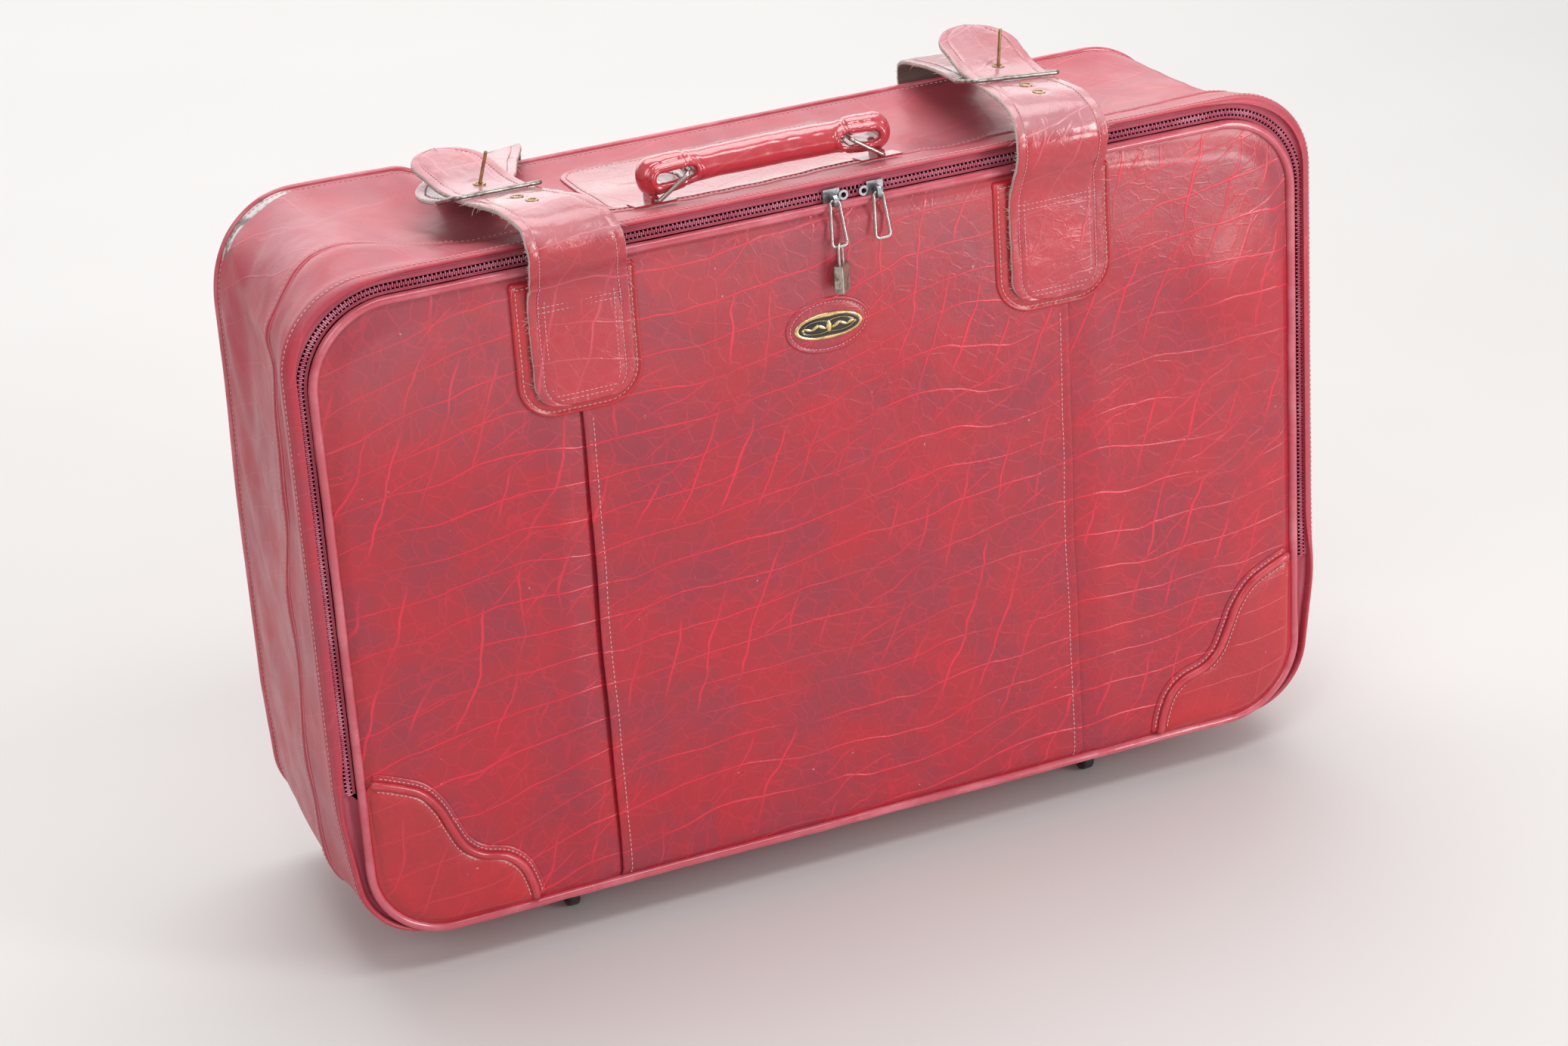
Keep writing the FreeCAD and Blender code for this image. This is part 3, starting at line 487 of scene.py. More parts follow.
def smooth_vinyl(name, color, light, roughness=0.34, coat=0.15):
    """Plain satin vinyl, rubbed lighter in places, for piping."""
    s = Shader(name, color, roughness, Specular_IOR_Level=0.5, Coat_Weight=coat, Coat_Roughness=0.1)
    rub = s.ramp(s.noise(24.0, 5.0, rough=0.65), 0.4, 0.7)
    s.set("Base Color", s.mix(rub, color, light))
    s.relief(s.sum((s.noise(900.0, 2.0), 0.2), (s.noise(120.0, 3.0), 0.8)), 0.0005, 0.35)
    s.set("Roughness", s.ramp(s.noise(60.0, 3.0), 0.2, 0.8, roughness - 0.06, roughness + 0.14))
    return s.material


def woven(name, color, light, per_metre=1400.0, roughness=0.75, sheen=0.3, strength=0.5):
    """A plain weave of two crossing threads."""
    s = Shader(name, color, roughness, Sheen_Weight=sheen, Sheen_Roughness=0.5)
    at = s.warped(90.0, 0.0004)
    warp = s.lines(at, (1.0, 0.9, 0.0), per_metre, 0.5)
    weft = s.lines(at, (0.0, 0.35, 1.0), per_metre, 0.5)
    threads = s.math("MAXIMUM", warp, weft)
    both = s.math("MULTIPLY", warp, weft)
    blotch = s.ramp(s.noise(30.0, 4.0), 0.3, 0.7)
    s.set("Base Color", s.mix(s.sum((threads, 0.35), (blotch, 0.5)), color, light))
    s.relief(s.sum((threads, 0.7), (both, 0.5), (s.noise(200.0, 3.0), 0.6)), 0.0003, strength)
    return s.material


def metal(name, bright, dull, roughness=0.28, tarnish=(0.45, 0.62), grain=400.0):
    """Plated metal that has gone dull in patches."""
    s = Shader(name, bright, roughness, metallic=1.0)
    patch = s.ramp(s.noise(190.0, 5.0, rough=0.68), tarnish[0], tarnish[1])
    s.set("Base Color", s.mix(patch, bright, dull))
    s.set("Roughness", s.math("ADD", s.math("MULTIPLY", patch, 0.28), roughness))
    s.relief(s.sum((s.noise(grain, 4.0), 0.5), (s.noise(2200.0, 2.0), 0.25)), 0.0001, 0.18)
    return s.material


def thread(name, color):
    s = Shader(name, color, 0.7, Sheen_Weight=0.3)
    twist = s.lines(s.place(), (0.6, 0.6, 1.0), 1800.0, 0.5)
    light = tuple(min(1.0, c * 1.35) for c in color)
    s.set("Base Color", s.mix(twist, tuple(c * 0.7 for c in color), light))
    s.relief(twist, 0.0002, 0.4)
    return s.material


def worn_corner(s, shade):
    """The back left corner is rubbed through to its grey cloth."""
    spot = s.vector("SUBTRACT", s.warped(45.0, 0.004), tuple(world((-334, 206, 459))))
    spread = [((0.74, 0.0, 0.67), 0.036), ((0.0, 1.0, 0.0), 0.0085), ((-0.67, 0.0, 0.74), 0.02)]
    far = [s.math("DIVIDE", s.vector("DOT_PRODUCT", spot, direction), size) for direction, size in spread]
    reach = s.sum(*[(s.math("MULTIPLY", f, f), 1.0) for f in far])
    grey = s.mix(s.ramp(s.noise(85.0, 3.0), 0.45, 0.6), *BARE_CLOTH)
    return s.mix(s.ramp(reach, 0.75, 1.0, 1.0, 0.0), shade, grey)


COARSE = {"per_metre": 700.0, "roughness": 0.9, "sheen": 0.2, "strength": 0.8}
PLUM, RED, VEIN = (0.315, 0.030, 0.051), (0.440, 0.021, 0.033), (0.82, 0.027, 0.062)
SOFT_VEIN = (0.74, 0.10, 0.14)
# The lid's vinyl carries a painted sheen on its upper part.
HIDE = vinyl("marbled_vinyl", PLUM, RED, VEIN, roughness=0.26, specular=0.45, coat=0.15, top_sheen=0.13)
# The shell's vinyl is paler, and its up-facing faces are whitened: a dusty film and painted sheen.
HIDE_DUST_SHEEN = vinyl("marbled_vinyl_dust_sheen", (0.42, 0.060, 0.088), (0.50, 0.043, 0.066), (0.66, 0.09, 0.13),
                   veins=0.5, roughness=0.38, dust_and_sheen=0.22, wear=worn_corner, specular=0.35, coat=0.08,
                   relief=0.6)
HIDE_RED = vinyl("corner_vinyl", (0.40, 0.022, 0.031), (0.49, 0.020, 0.028), (0.70, 0.036, 0.06),
                 veins=0.6, roughness=0.26)
# These vinyls are whitened where they face up: partly a dusty film, partly painted sheen.
HIDE_STRAP = vinyl("strap_vinyl", (0.40, 0.038, 0.058), (0.50, 0.030, 0.044), SOFT_VEIN,
                   veins=0.7, roughness=0.20, dust_and_sheen=0.55, coat=0.5, relief=0.95)
HIDE_PATCH = vinyl("patch_vinyl", (0.34, 0.026, 0.044), (0.46, 0.028, 0.042), SOFT_VEIN,
                   roughness=0.22, dust_and_sheen=0.26, specular=0.75, coat=0.6, relief=1.25)
HIDE_GRIP = vinyl("grip_vinyl", (0.50, 0.030, 0.048), (0.55, 0.027, 0.041), SOFT_VEIN,
                  veins=0.4, roughness=0.13, dust_and_sheen=0.08, specular=1.0, coat=0.9, relief=0.32)
PIPING = smooth_vinyl("piping_vinyl", (0.52, 0.080, 0.112), (0.64, 0.16, 0.20), roughness=0.16, coat=0.5)
CORD = smooth_vinyl("corner_cord_vinyl", (0.47, 0.030, 0.045), (0.60, 0.07, 0.09), roughness=0.2)
THREAD = thread("pink_thread", (0.66, 0.36, 0.36))
# The zip tape's own colour, darkened to paint the shade in the gaps between the coil's teeth.
TAPE_SHADED = woven("zip_tape", (0.37, 0.040, 0.070), (0.50, 0.09, 0.135), per_metre=900.0)
COIL = smooth_vinyl("zip_coil", (0.46, 0.075, 0.135), (0.64, 0.24, 0.32), roughness=0.3)
RAW = woven("raw_cloth_edge", (0.42, 0.37, 0.33), (0.70, 0.64, 0.58), **COARSE)
# The straps' backing cloth, darkened to paint the shade under the straps and inside their loops.
BACKING_IN_SHADE = woven("strap_backing_shaded", (0.13, 0.10, 0.085), (0.24, 0.19, 0.165), **COARSE)
LINING = woven("lining_cloth", (0.16, 0.035, 0.05), (0.27, 0.07, 0.09), per_metre=1600.0,
               roughness=0.6, sheen=0.5, strength=0.3)
WEBBING = woven("webbing", (0.09, 0.015, 0.025), (0.18, 0.04, 0.06), per_metre=500.0,
                roughness=0.7, strength=0.8)
BOARD = woven("fibreboard", (0.30, 0.21, 0.13), (0.42, 0.31, 0.20), per_metre=250.0,
              roughness=0.85, sheen=0.0, strength=0.2)
STEEL = metal("worn_steel", (0.56, 0.54, 0.51), (0.36, 0.32, 0.28), roughness=0.26, tarnish=(0.4, 0.75))
WIRE = metal("buckle_wire", (0.40, 0.37, 0.34), (0.20, 0.175, 0.15), roughness=0.30, tarnish=(0.42, 0.70),
             grain=150.0)
GUNMETAL = metal("gunmetal", (0.46, 0.47, 0.49), (0.20, 0.20, 0.21), tarnish=(0.4, 0.65))
BRASS = metal("old_brass", (0.52, 0.38, 0.20), (0.28, 0.20, 0.12), roughness=0.32, tarnish=(0.4, 0.7))
GILT = metal("gilt", (0.83, 0.62, 0.30), (0.50, 0.33, 0.14), roughness=0.22)
LOCK = metal("lock_steel", (0.52, 0.47, 0.40), (0.24, 0.20, 0.16), roughness=0.36)
ZINC = metal("zinc_plate", (0.60, 0.61, 0.62), (0.30, 0.30, 0.31), roughness=0.34)
ENAMEL = smooth_vinyl("black_enamel", (0.012, 0.011, 0.010), (0.03, 0.026, 0.022), roughness=0.15)
RUBBER = smooth_vinyl("black_rubber", (0.018, 0.018, 0.019), (0.06, 0.058, 0.055), roughness=0.55)
CLASP = smooth_vinyl("clasp_plastic", (0.02, 0.018, 0.018), (0.05, 0.045, 0.045), roughness=0.3)


# ---- camera, light and floor ----
CAMERA_AT = (-0.964, -2.4494, 1.4535)
CAMERA_RIGHT = (0.91764, -0.39261, -0.06152)
CAMERA_UP = (0.21771, 0.36715, 0.90432)
CAMERA_LENS = 92.5


def camera():
    data = bpy.data.cameras.new("camera")
    data.lens, data.sensor_width = CAMERA_LENS, 36.0
    obj = bpy.data.objects.new("camera", data)
    right, up = Vector(CAMERA_RIGHT).normalized(), Vector(CAMERA_UP).normalized()
    axes = Matrix((right, up, right.cross(up))).transposed()
    obj.matrix_world = Matrix.Translation(CAMERA_AT) @ axes.to_4x4()
    bpy.context.scene.collection.objects.link(obj)
    bpy.context.scene.camera = obj


def softbox(name, at, target, size, power, color=(1, 1, 1)):
    data = bpy.data.lights.new(name, "AREA")
    data.shape, data.size, data.size_y = "RECTANGLE", size[0], size[1]
    data.energy, data.color = power, color
    obj = bpy.data.objects.new(name, data)
    obj.location = at
    obj.rotation_euler = (Vector(target) - Vector(at)).to_track_quat("-Z", "Y").to_euler()
    obj.visible_camera = False
    bpy.context.scene.collection.objects.link(obj)


def studio():
    softbox("overhead", (0.3, 0.9, 3.0), (0, 0, 0.3), (3.0, 2.0), 58)
    softbox("backlight", (0.2, 2.9, 1.5), (0, 0, 0.5), (4.5, 2.4), 46)
    softbox("front_left", (-2.6, -2.6, 2.2), (0, 0, 0.3), (1.8, 1.8), 27)
    softbox("front_top", (0.1, -1.5, 2.9), (0, 0, 0.45), (2.0, 0.6), 25)
    softbox("key", (2.1, -2.5, 1.35), (0, 0, 0.3), (0.8, 0.9), 31)
    softbox("low_right", (1.25, -1.85, 0.26), (0.3, -0.1, 0.42), (0.5, 0.42), 9)
    world_light = bpy.data.worlds.new("studio")
    world_light.use_nodes = True
    background = world_light.node_tree.nodes["Background"]
    background.inputs["Color"].default_value = (1.0, 0.99, 0.98, 1.0)
    background.inputs["Strength"].default_value = 0.37
    bpy.context.scene.world = world_light
    mesh = bpy.data.meshes.new("floor")
    half = 6.0
    corners = [(-half, -half, 0), (half, -half, 0), (half, half, 0), (-half, half, 0)]
    mesh.from_pydata(corners, [], [(0, 1, 2, 3)])
    floor = bpy.data.objects.new("floor", mesh)
    bpy.context.scene.collection.objects.link(floor)
    pale = Shader("pale_floor", (0.68, 0.665, 0.655), 0.7)
    pale.set("Base Color", pale.mix(pale.noise(3.0, 3.0), (0.66, 0.645, 0.635), (0.70, 0.685, 0.675)))
    mesh.materials.append(pale.material)


camera()
studio()
bpy.context.scene.view_settings.view_transform = "Standard"


# ---- the lid's three sewn panels ----
PANEL_INSET = 2.0


def panel_reach(h):
    """Half the lid's width inside its piping at a height."""
    r, w = CORNER_R - PANEL_INSET, HALF_W - PANEL_INSET
    low = np.clip((r - (h - PANEL_INSET)) / r, 0, 1)
    high = np.clip((r - (HEIGHT - PANEL_INSET - h)) / r, 0, 1)
    t = np.maximum(low, high)
    return w - r + r * np.sqrt(np.maximum(1 - t * t, 0))


def edge_gap(x, h):
    """How far a point of the lid is inside its piping."""
    r = CORNER_R
    dx = np.abs(x) - (HALF_W - r)
    dh = np.abs(h - HEIGHT / 2) - (HEIGHT / 2 - r)
    outside = np.hypot(np.maximum(dx, 0), np.maximum(dh, 0))
    return r - outside - np.minimum(np.maximum(dx, dh), 0)


# (rise, x, half width, h, half height) of the lid's larger swells and its one hollow
LID_SWELLS = (
    (4.4, 299, 35, 357, 38), (1.3, 225, 22, 396, 25), (2.4, -285, 60, 350, 60),
    (2.0, -230, 40, 150, 90), (-1.5, 0, 120, 180, 90),
)


def lid_depth(x, h):
    """d of the lid's soft face: tucked in beside the piping, with shallow swells and hollows."""
    x, h = np.asarray(x, float), np.asarray(h, float)
    gap = edge_gap(x, h)
    top = smooth((h - 300) / 160)
    corner = top * smooth((np.abs(x) - 200) / 120)
    tuck = 1 - smooth((gap - 2) / (9 + 14 * corner))
    points = np.stack([x, 0 * x, h], axis=-1).reshape(-1, 3)
    swell = rumple(points, 150, 1).reshape(x.shape) * 1.3 + rumple(points, 55, 2).reshape(x.shape) * 0.35
    inside = smooth(gap / 60)
    d = -3.3 + tuck * 3.7 - swell * inside
    for rise, at_x, wide, at_h, tall in LID_SWELLS:
        d = d - rise * bump(x, at_x, wide) * bump(h, at_h, tall)
    return np.minimum(d, 0.8)


def lid_point(x, h, lift=0.0):
    """A point a little in front of the lid's face."""
    return np.stack([x, lid_depth(x, h) - lift, h], axis=-1)


def panel_rows():
    ends = np.array([PANEL_INSET, 3.2, 5.0, 7.5, 10.5])
    return np.concatenate([ends, np.arange(14, HEIGHT - 13, 3.2), HEIGHT - ends[::-1]])


def wander(h):
    """How far the lid's two seams stray sideways at a height."""
    return 0.5 * np.sin(h / 41.0) + 0.3 * np.sin(h / 17.0)


def side_panel(side):
    """A side panel, which slips under the middle panel's folded edge."""
    s = SIDES[side]
    rows = panel_rows()
    t = np.array([0, 0.006, 0.014, 0.026, 0.04, *np.linspace(0.055, 0.90, 48), *np.linspace(0.915, 1.0, 12)])
    reach = panel_reach(rows)
    x = reach[:, None] + (SEAM_X - 5 - reach[:, None]) * t[None]
    h = np.repeat(rows[:, None], len(t), axis=1)
    d = lid_depth(s * x, h)
    gape = {"left": 0.35 + 1.35 * bump(rows, 190, 130), "right": 0.3 + 0.5 * bump(rows, 120, 110)}[side]
    dip = np.exp(-np.maximum(x - SEAM_X + 1, 0) / 7.0)
    d = d + dip * (0.9 + gape[:, None]) - bump(x, SEAM_X + 22, 12) * (0.5 + gape[:, None] * 0.7)
    d = np.minimum(d, 0.85)
    faces = grid_faces(*x.shape)[:, :: -s]
    points = np.stack([s * x, d, h], axis=-1)
    piece(f"panel_{side}", points, faces, HIDE, "lid", [f"front_panel_{side}"], "vinyl")


def centre_panel():
    """The middle panel: its side edges are folded under and sewn down over the side panels."""
    rows = panel_rows()
    edge = SEAM_X + 0.5
    run = np.linspace(-edge + 1.1, edge - 1.1, 124)
    fold = [(edge - 7, 2.0), (edge - 1.2, 1.9), (edge - 0.3, 1.4), (edge, 0.8), (edge - 0.35, 0.25)]
    xs = np.concatenate([[-x for x, _ in fold], run, [x for x, _ in reversed(fold)]])
    under = np.concatenate([[u for _, u in fold], np.zeros(len(run)), [u for _, u in reversed(fold)]])
    x = np.repeat(xs[None], len(rows), axis=0)
    h = np.repeat(rows[:, None], len(xs), axis=1)
    d = lid_depth(x, h)
    lift = np.exp(-(edge - np.abs(x)) / 5.0) * (0.5 + 0.9 * bump(h, 190, 130))
    seam = bump(np.abs(x), edge - 6.5, 1.3) * 0.35
    tuck = 1 - smooth((edge_gap(x, h) - 2) / 9)
    d = d - (1.0 + lift) * (1 - tuck) + under + seam
    x = x + wander(h) * np.exp(-(edge - np.abs(x)) / 12.0)
    faces = grid_faces(*x.shape)[:, ::-1]
    points = np.stack([x, np.minimum(d, 0.9), h], axis=-1)
    piece("panel_centre", points, faces, HIDE, "lid", ["front_panel_centre"], "vinyl")


def bead_round(name, path, normals, radius, body, replaces, seed=0.0):
    """A closed piped bead, a little uneven as sewn vinyl is."""
    uneven = 1 + 0.12 * rumple(path, 18, seed) * 0.5
    profile = circle(radius, 14)[None] * uneven[:, None, None]
    points, faces = sweep(path, normals, profile, closed=True)
    piece(name, points, faces, PIPING, body, replaces, "piping")


def lid_bead():
    outline = panel_outline(0.0, 2.0)
    normals = outward(outline)
    path = flat_path(outline, 0.0)
    path = path + normals * (rumple(path, 60, 4) * 0.5)[:, None]
    bead_round("piping_round_lid", path, normals, PIPE_R * 1.02, "lid", ["lid_piping"])


# ---- the soft shell ----
def shoulder(points, normals, d):
    """How far the top's left end stands up behind the zip, and how far its back corner is drawn in."""
    x, h = points[:, 0], points[:, 2]
    up = np.clip(normals[:, 2], 0, 1)
    far = smooth((d - WELT_D) / 150)
    seam = 19.0 * bump(x, -308, 62) * smooth(up * 2) * smooth(d / 50)
    back = 15.5 * smooth((-190 - x) / 42) * up ** 1.9
    middle = smooth((d - 16) / 25) * (1 - smooth((d - 150) / 40))
    drawn = (2.4 * far + 7.5 * middle) * np.clip(-normals[:, 0], 0, 1) * smooth((h - 240) / 120)
    dip = 8.0 * bump(x, -228, 27) * bump(d, 150, 45) * up
    return seam * (1 - far) + back * far - drawn - dip


# (depth, x, half width) of the soft top's sags
TOP_SAGS = ((7.0, -262, 50), (4.5, 258, 60), (4.5, 128, 34), (3.2, -30, 110))


def shell_give(points, normals, d):
    """How far the soft shell stands out from the case's plain outline, in millimetres."""
    span = np.sin(np.clip(d / DEPTH, 0, 1) * math.pi)
    up = np.clip(normals[:, 2], 0, 1)
    wall = np.abs(normals[:, 0])
    x, h = points[:, 0], points[:, 2]
    sag = -up * sum(depth * bump(x, at, wide) for depth, at, wide in TOP_SAGS) * span
    lean = wall * (1.8 * np.sin(h / 95.0 + 0.8) - 0.6) * span
    low = rumple(points, 120, 6) * 1.6 + rumple(points, 48, 7) * 0.7
    corner = np.minimum(up, wall) * 2
    dents = -corner * 2.2 * np.abs(rumple(points, 34, 8)) * span
    give = sag + lean + low * span + dents + shoulder(points, normals, d)
    return np.where(normals[:, 2] < -0.6, 0.0, give)


def curled(path, normals, d):
    """A path near the shell's front edge drawn in over the zip at the case's ends, as the soft edge curls."""
    ends = smooth((np.abs(path[:, 0]) - 285) / 60) * smooth((path[:, 2] - 95) / 60)
    turn = 1 - math.sqrt(1 - min(max(7.6 - d, 0.0) / 8.7, 1.0) ** 2)
    return path - normals * (7.6 * turn * ends)[:, None]


def seam_relief(d):
    """The relief of the sewn seam between the front and back bands."""
    groove = -1.9 * bump(d, WELT_D - 0.6, 1.0)
    puff = 2.4 * smooth((d - WELT_D - 0.2) / 2.2) * (1 - smooth((d - WELT_D - 5.0) / 12.0))
    front = 0.8 * smooth((d - WELT_D + 14) / 10) * (1 - smooth((d - WELT_D + 2.2) / 2.0))
    edge = 0.9 * bump(d, 7.5, 4.5) - 0.5 * bump(d, 3.4, 0.9)
    return groove + puff + front + edge


DRAPE_ROWS = np.linspace(3.0, 212.0, 30)
DRAPE_COLS = 236
DRAPE_FRAMES = 24
DRAPE_LIMIT = 6.5


def drape():
    """How the vinyl between the case's stiff edges settles: its movement, by cloth simulation."""
    scene = bpy.context.scene
    rows, held = [], []
    for i, d in enumerate(DRAPE_ROWS):
        outline = case_outline(d)
        normals = outward(outline)
        path = flat_path(outline, d)
        path = path + normals * shell_give(path, normals, d)[:, None]
        path, normals = resample(path, 1.0, True, normals)
        pick = np.linspace(0, len(path), DRAPE_COLS, endpoint=False).astype(int)
        rows.append(path[pick])
        edge = i < 2 or i > len(DRAPE_ROWS) - 3
        held.append(np.where((normals[pick, 2] < -0.5) | edge, 1.0, 0.0))
    points = np.array(rows)
    mesh = bpy.data.meshes.new("drape")
    faces = grid_faces(*points.shape[:2], closed=True)
    mesh.from_pydata(world(points.reshape(-1, 3)).tolist(), [], faces.tolist())
    obj = bpy.data.objects.new("drape", mesh)
    scene.collection.objects.link(obj)
    group = obj.vertex_groups.new(name="held")
    group.add([int(i) for i in np.flatnonzero(np.concatenate(held) > 0.5)], 1.0, "REPLACE")
    cloth = obj.modifiers.new("cloth", "CLOTH")
    settings = cloth.settings
    settings.vertex_group_mass = "held"
    settings.quality, settings.mass = 6, 0.3
    settings.tension_stiffness = settings.compression_stiffness = 18
    settings.shear_stiffness, settings.bending_stiffness = 6, 5.0
    settings.shrink_min = -0.009
    cloth.point_cache.frame_start, cloth.point_cache.frame_end = 1, DRAPE_FRAMES
    for frame_number in range(1, DRAPE_FRAMES + 1):
        scene.frame_set(frame_number)
    settled = obj.evaluated_get(bpy.context.evaluated_depsgraph_get()).data
    moved = local(vertices(settled).reshape(points.shape)) - points
    bpy.data.objects.remove(obj)
    scene.frame_set(1)
    size = np.linalg.norm(moved, axis=-1, keepdims=True)
    moved = moved * np.tanh(size / DRAPE_LIMIT) * DRAPE_LIMIT / np.maximum(size, 1e-6)
    walls = smooth((np.abs(points[..., 0]) - 310) / 45)
    behind_zip = smooth((points[..., 1] - 32) / 34)
    moved = moved * ((1 - 0.55 * walls) * (0.12 + 0.88 * behind_zip))[..., None]
    print(f"drape: moved up to {size.max():.1f} mm, {size.mean():.2f} mm on average")
    return moved


DRAPE = drape()


def draped(d, path):
    """The simulated movement at each point of a closed outline at a distance back."""
    row = np.interp(d, DRAPE_ROWS, np.arange(len(DRAPE_ROWS)))
    low = min(int(row), len(DRAPE_ROWS) - 2)
    field = DRAPE[low] + (DRAPE[low + 1] - DRAPE[low]) * (row - low)
    steps = np.linalg.norm(np.roll(path, -1, axis=0) - path, axis=1)
    at = np.concatenate([[0], np.cumsum(steps)[:-1]]) / steps.sum() * DRAPE_COLS
    spots = np.arange(DRAPE_COLS + 1)
    return np.stack([np.interp(at, spots, np.append(field[:, k], field[0, k])) for k in range(3)], axis=1)


def shell_path(d, lift=0.0, fine=1.0):
    """A closed path round the soft shell at a distance back, and its outward directions."""
    outline = case_outline(d, 0.0, fine)
    normals = outward(outline)
    path = flat_path(outline, d)
    rise = lift + shell_give(path, normals, d) + seam_relief(d) * np.where(normals[:, 2] < -0.6, 0.3, 1.0)
    return curled(path + normals * rise[:, None] + draped(d, path), normals, d), normals


SHELL_ROWS = np.unique(np.concatenate([
    np.array([0.35, 1.2, 2.2, 2.9, 3.4, 3.9, 4.6, 6.0, 7.5, 9.5, 12.0]),
    np.arange(15, 53, 4.0),
    np.array([53.5, 55.2, 56.4, 57.0, 57.5, 58.0, 58.5, 59.0, 59.8, 60.8, 62.0, 63.6, 66.0, 69.0]),
    np.arange(72, 208, 5.0),
    np.array([208.5, 210.5, 211.8]),
]))


def shell():
    """The whole soft shell: a folded front edge, two bands sewn together, and a tucked back edge."""
    fold = [(5.6, -3.6), (3.2, -3.4), (1.2, -3.1), (-0.2, -2.6), (-0.9, -1.9), (-0.9, -1.1), (-0.4, -0.45)]
    rows = []
    for d, grow in fold:
        outline = case_outline(0.0)
        normals = outward(outline)
        path = flat_path(outline, d)
        path = path + normals * (grow + shell_give(path, normals, 0.35) * 0.5)[:, None]
        rows.append(curled(path, normals, min(d, -0.4)))
    rows += [shell_path(d)[0] for d in SHELL_ROWS]
    rows.append(shell_path(212.6, -1.6)[0])
    points = np.array(rows)
    faces = grid_faces(*points.shape[:2], closed=True)[:, ::-1]
    covered = ["gusset_front_band", "gusset_back_band", "front_edge_binding"]
    piece("soft_shell", points, faces, HIDE_DUST_SHEEN, "case", covered, "vinyl")


def inner_lining():
    """The cloth lining inside the shell, loose and a little rucked."""
    rows = []
    for i, d in enumerate(np.linspace(9, 205, 40)):
        path, normals = shell_path(d, -8.2)
        ruck = rumple(path * [1, 0.25, 1], 14.0, 41) * 0.9 + rumple(path, 60.0, 42) * 0.8
        rows.append(path - normals * (ruck * math.sin(math.pi * i / 39))[:, None])
    points = np.array(rows)
    faces = grid_faces(*points.shape[:2], closed=True)
    piece("shell_lining", points, faces, LINING, "case", ["gusset_lining"], "lining")


POCKET_HALF, POCKET_LOW, POCKET_HIGH, POCKET_D = 249.0, 61.0, 298.0, 5.55


def pocket():
    """The pocket inside the lid: a cloth sheet sewn round three sides and gathered into an elastic hem."""
    x = np.linspace(-POCKET_HALF, POCKET_HALF, 420)
    h = [*np.linspace(POCKET_LOW, POCKET_HIGH - 14, 60), *np.linspace(POCKET_HIGH - 13, POCKET_HIGH, 9)]
    x, h = np.meshgrid(x, h)
    flat = np.stack([x, 0 * x, h], axis=-1).reshape(-1, 3)
    up = (h - POCKET_LOW) / (POCKET_HIGH - POCKET_LOW)
    edge = smooth(np.minimum((POCKET_HALF - np.abs(x)) / 16, (h - POCKET_LOW) / 22))
    slow = rumple(flat * [1, 1, 0.22], 26.0, 61).reshape(x.shape)
    folds = np.sin(x / 3.1 + 3.2 * slow) * (0.25 + 0.75 * up**1.5) * 1.15
    belly = 4.2 * np.sin(np.clip(up, 0, 1) * math.pi) ** 0.8 + 1.5 * slow
    hem = smooth((h - POCKET_HIGH + 12) / 3)
    d = POCKET_D + 1.0 * edge + edge * (belly * (1 - hem) + folds * (1 - 0.35 * hem) + 1.3)
    points = np.stack([x, d, h], axis=-1)
    cloth = piece("pocket", points, grid_faces(*x.shape), LINING, "lid", ["lid_pocket"], "lining")
    rows = []
    for line in (POCKET_HIGH - 11.5, POCKET_HIGH - 1.2):
        k = int(np.argmin(np.abs(h[:, 0] - line)))
        rows.append(stitch_mesh(points[k], -lid_normal(x.shape[1]), 3.4, 2.2, 0.35))
    elastic = points[-9:].copy()
    elastic[..., 1] += 0.35
    faces = grid_faces(*elastic.shape[:2])
    hem_piece = piece("pocket_hem", elastic, faces, WEBBING, "lid", slot="lining")
    sewing = piece("pocket_stitching", *join(rows), THREAD, "lid", slot="lining")
    across = np.linalg.norm(np.diff(points, axis=1), axis=-1).sum(axis=1).mean()
    along = np.linalg.norm(np.diff(points, axis=0), axis=-1).sum(axis=0).mean()


def shell_bead(name, d, radius, lift, replaces, seed):
    path, normals = shell_path(d, lift, 2.0)
    bead_round(name, path, normals, radius, "case", replaces, seed)


def back_panel():
    """The back of the case, tucked in beside its piping."""
    outline = case_outline(DEPTH - 2, -1.0)
    normals = outward(outline)
    outline = outline + normals[:, ::2] * shoulder(flat_path(outline, DEPTH), normals, DEPTH)[:, None]
    centre = np.array([0.0, 225.0])
    rings = np.concatenate([[1.0, 0.994, 0.985, 0.972, 0.955], np.linspace(0.93, 0.02, 46)])
    points = []
    for t in rings:
        ring = centre + (outline - centre) * t
        gap = (1 - t) * 250
        flat = flat_path(ring, 0)
        d = DEPTH - 1.9 + 1.2 * smooth(gap / 10) + rumple(flat, 130, 9) * 1.5 * smooth(gap / 60)
        flat[:, 1] = d + rumple(flat, 45, 10) * 0.3 * smooth(gap / 40)
        points.append(flat)
    points.append(np.full((len(outline), 3), [0.0, DEPTH - 0.7, 225.0]))
    points = np.array(points)
    faces = grid_faces(*points.shape[:2], closed=True)
    piece("back_face", points, faces, HIDE_DUST_SHEEN, "case", ["back_panel"], "vinyl")


# ---- the zip ----
def zip_line(offset, step=1.0):
    """The zip's arch round the lid, from its left foot to its right foot, with outward directions."""
    outline = panel_outline(offset, 4.0)
    normals = outward(outline)
    path = flat_path(outline, 0.0)
    split = int(np.argmin(np.abs(path[:, 0] + 1e3 * (path[:, 2] > ZIP_END_H)) + path[:, 2]))
    path, normals = np.roll(path, -split, axis=0), np.roll(normals, -split, axis=0)
    keep = path[:, 2] >= ZIP_END_H
    path, normals = path[keep][::-1], normals[keep][::-1]
    return resample(path, step, extras=normals)


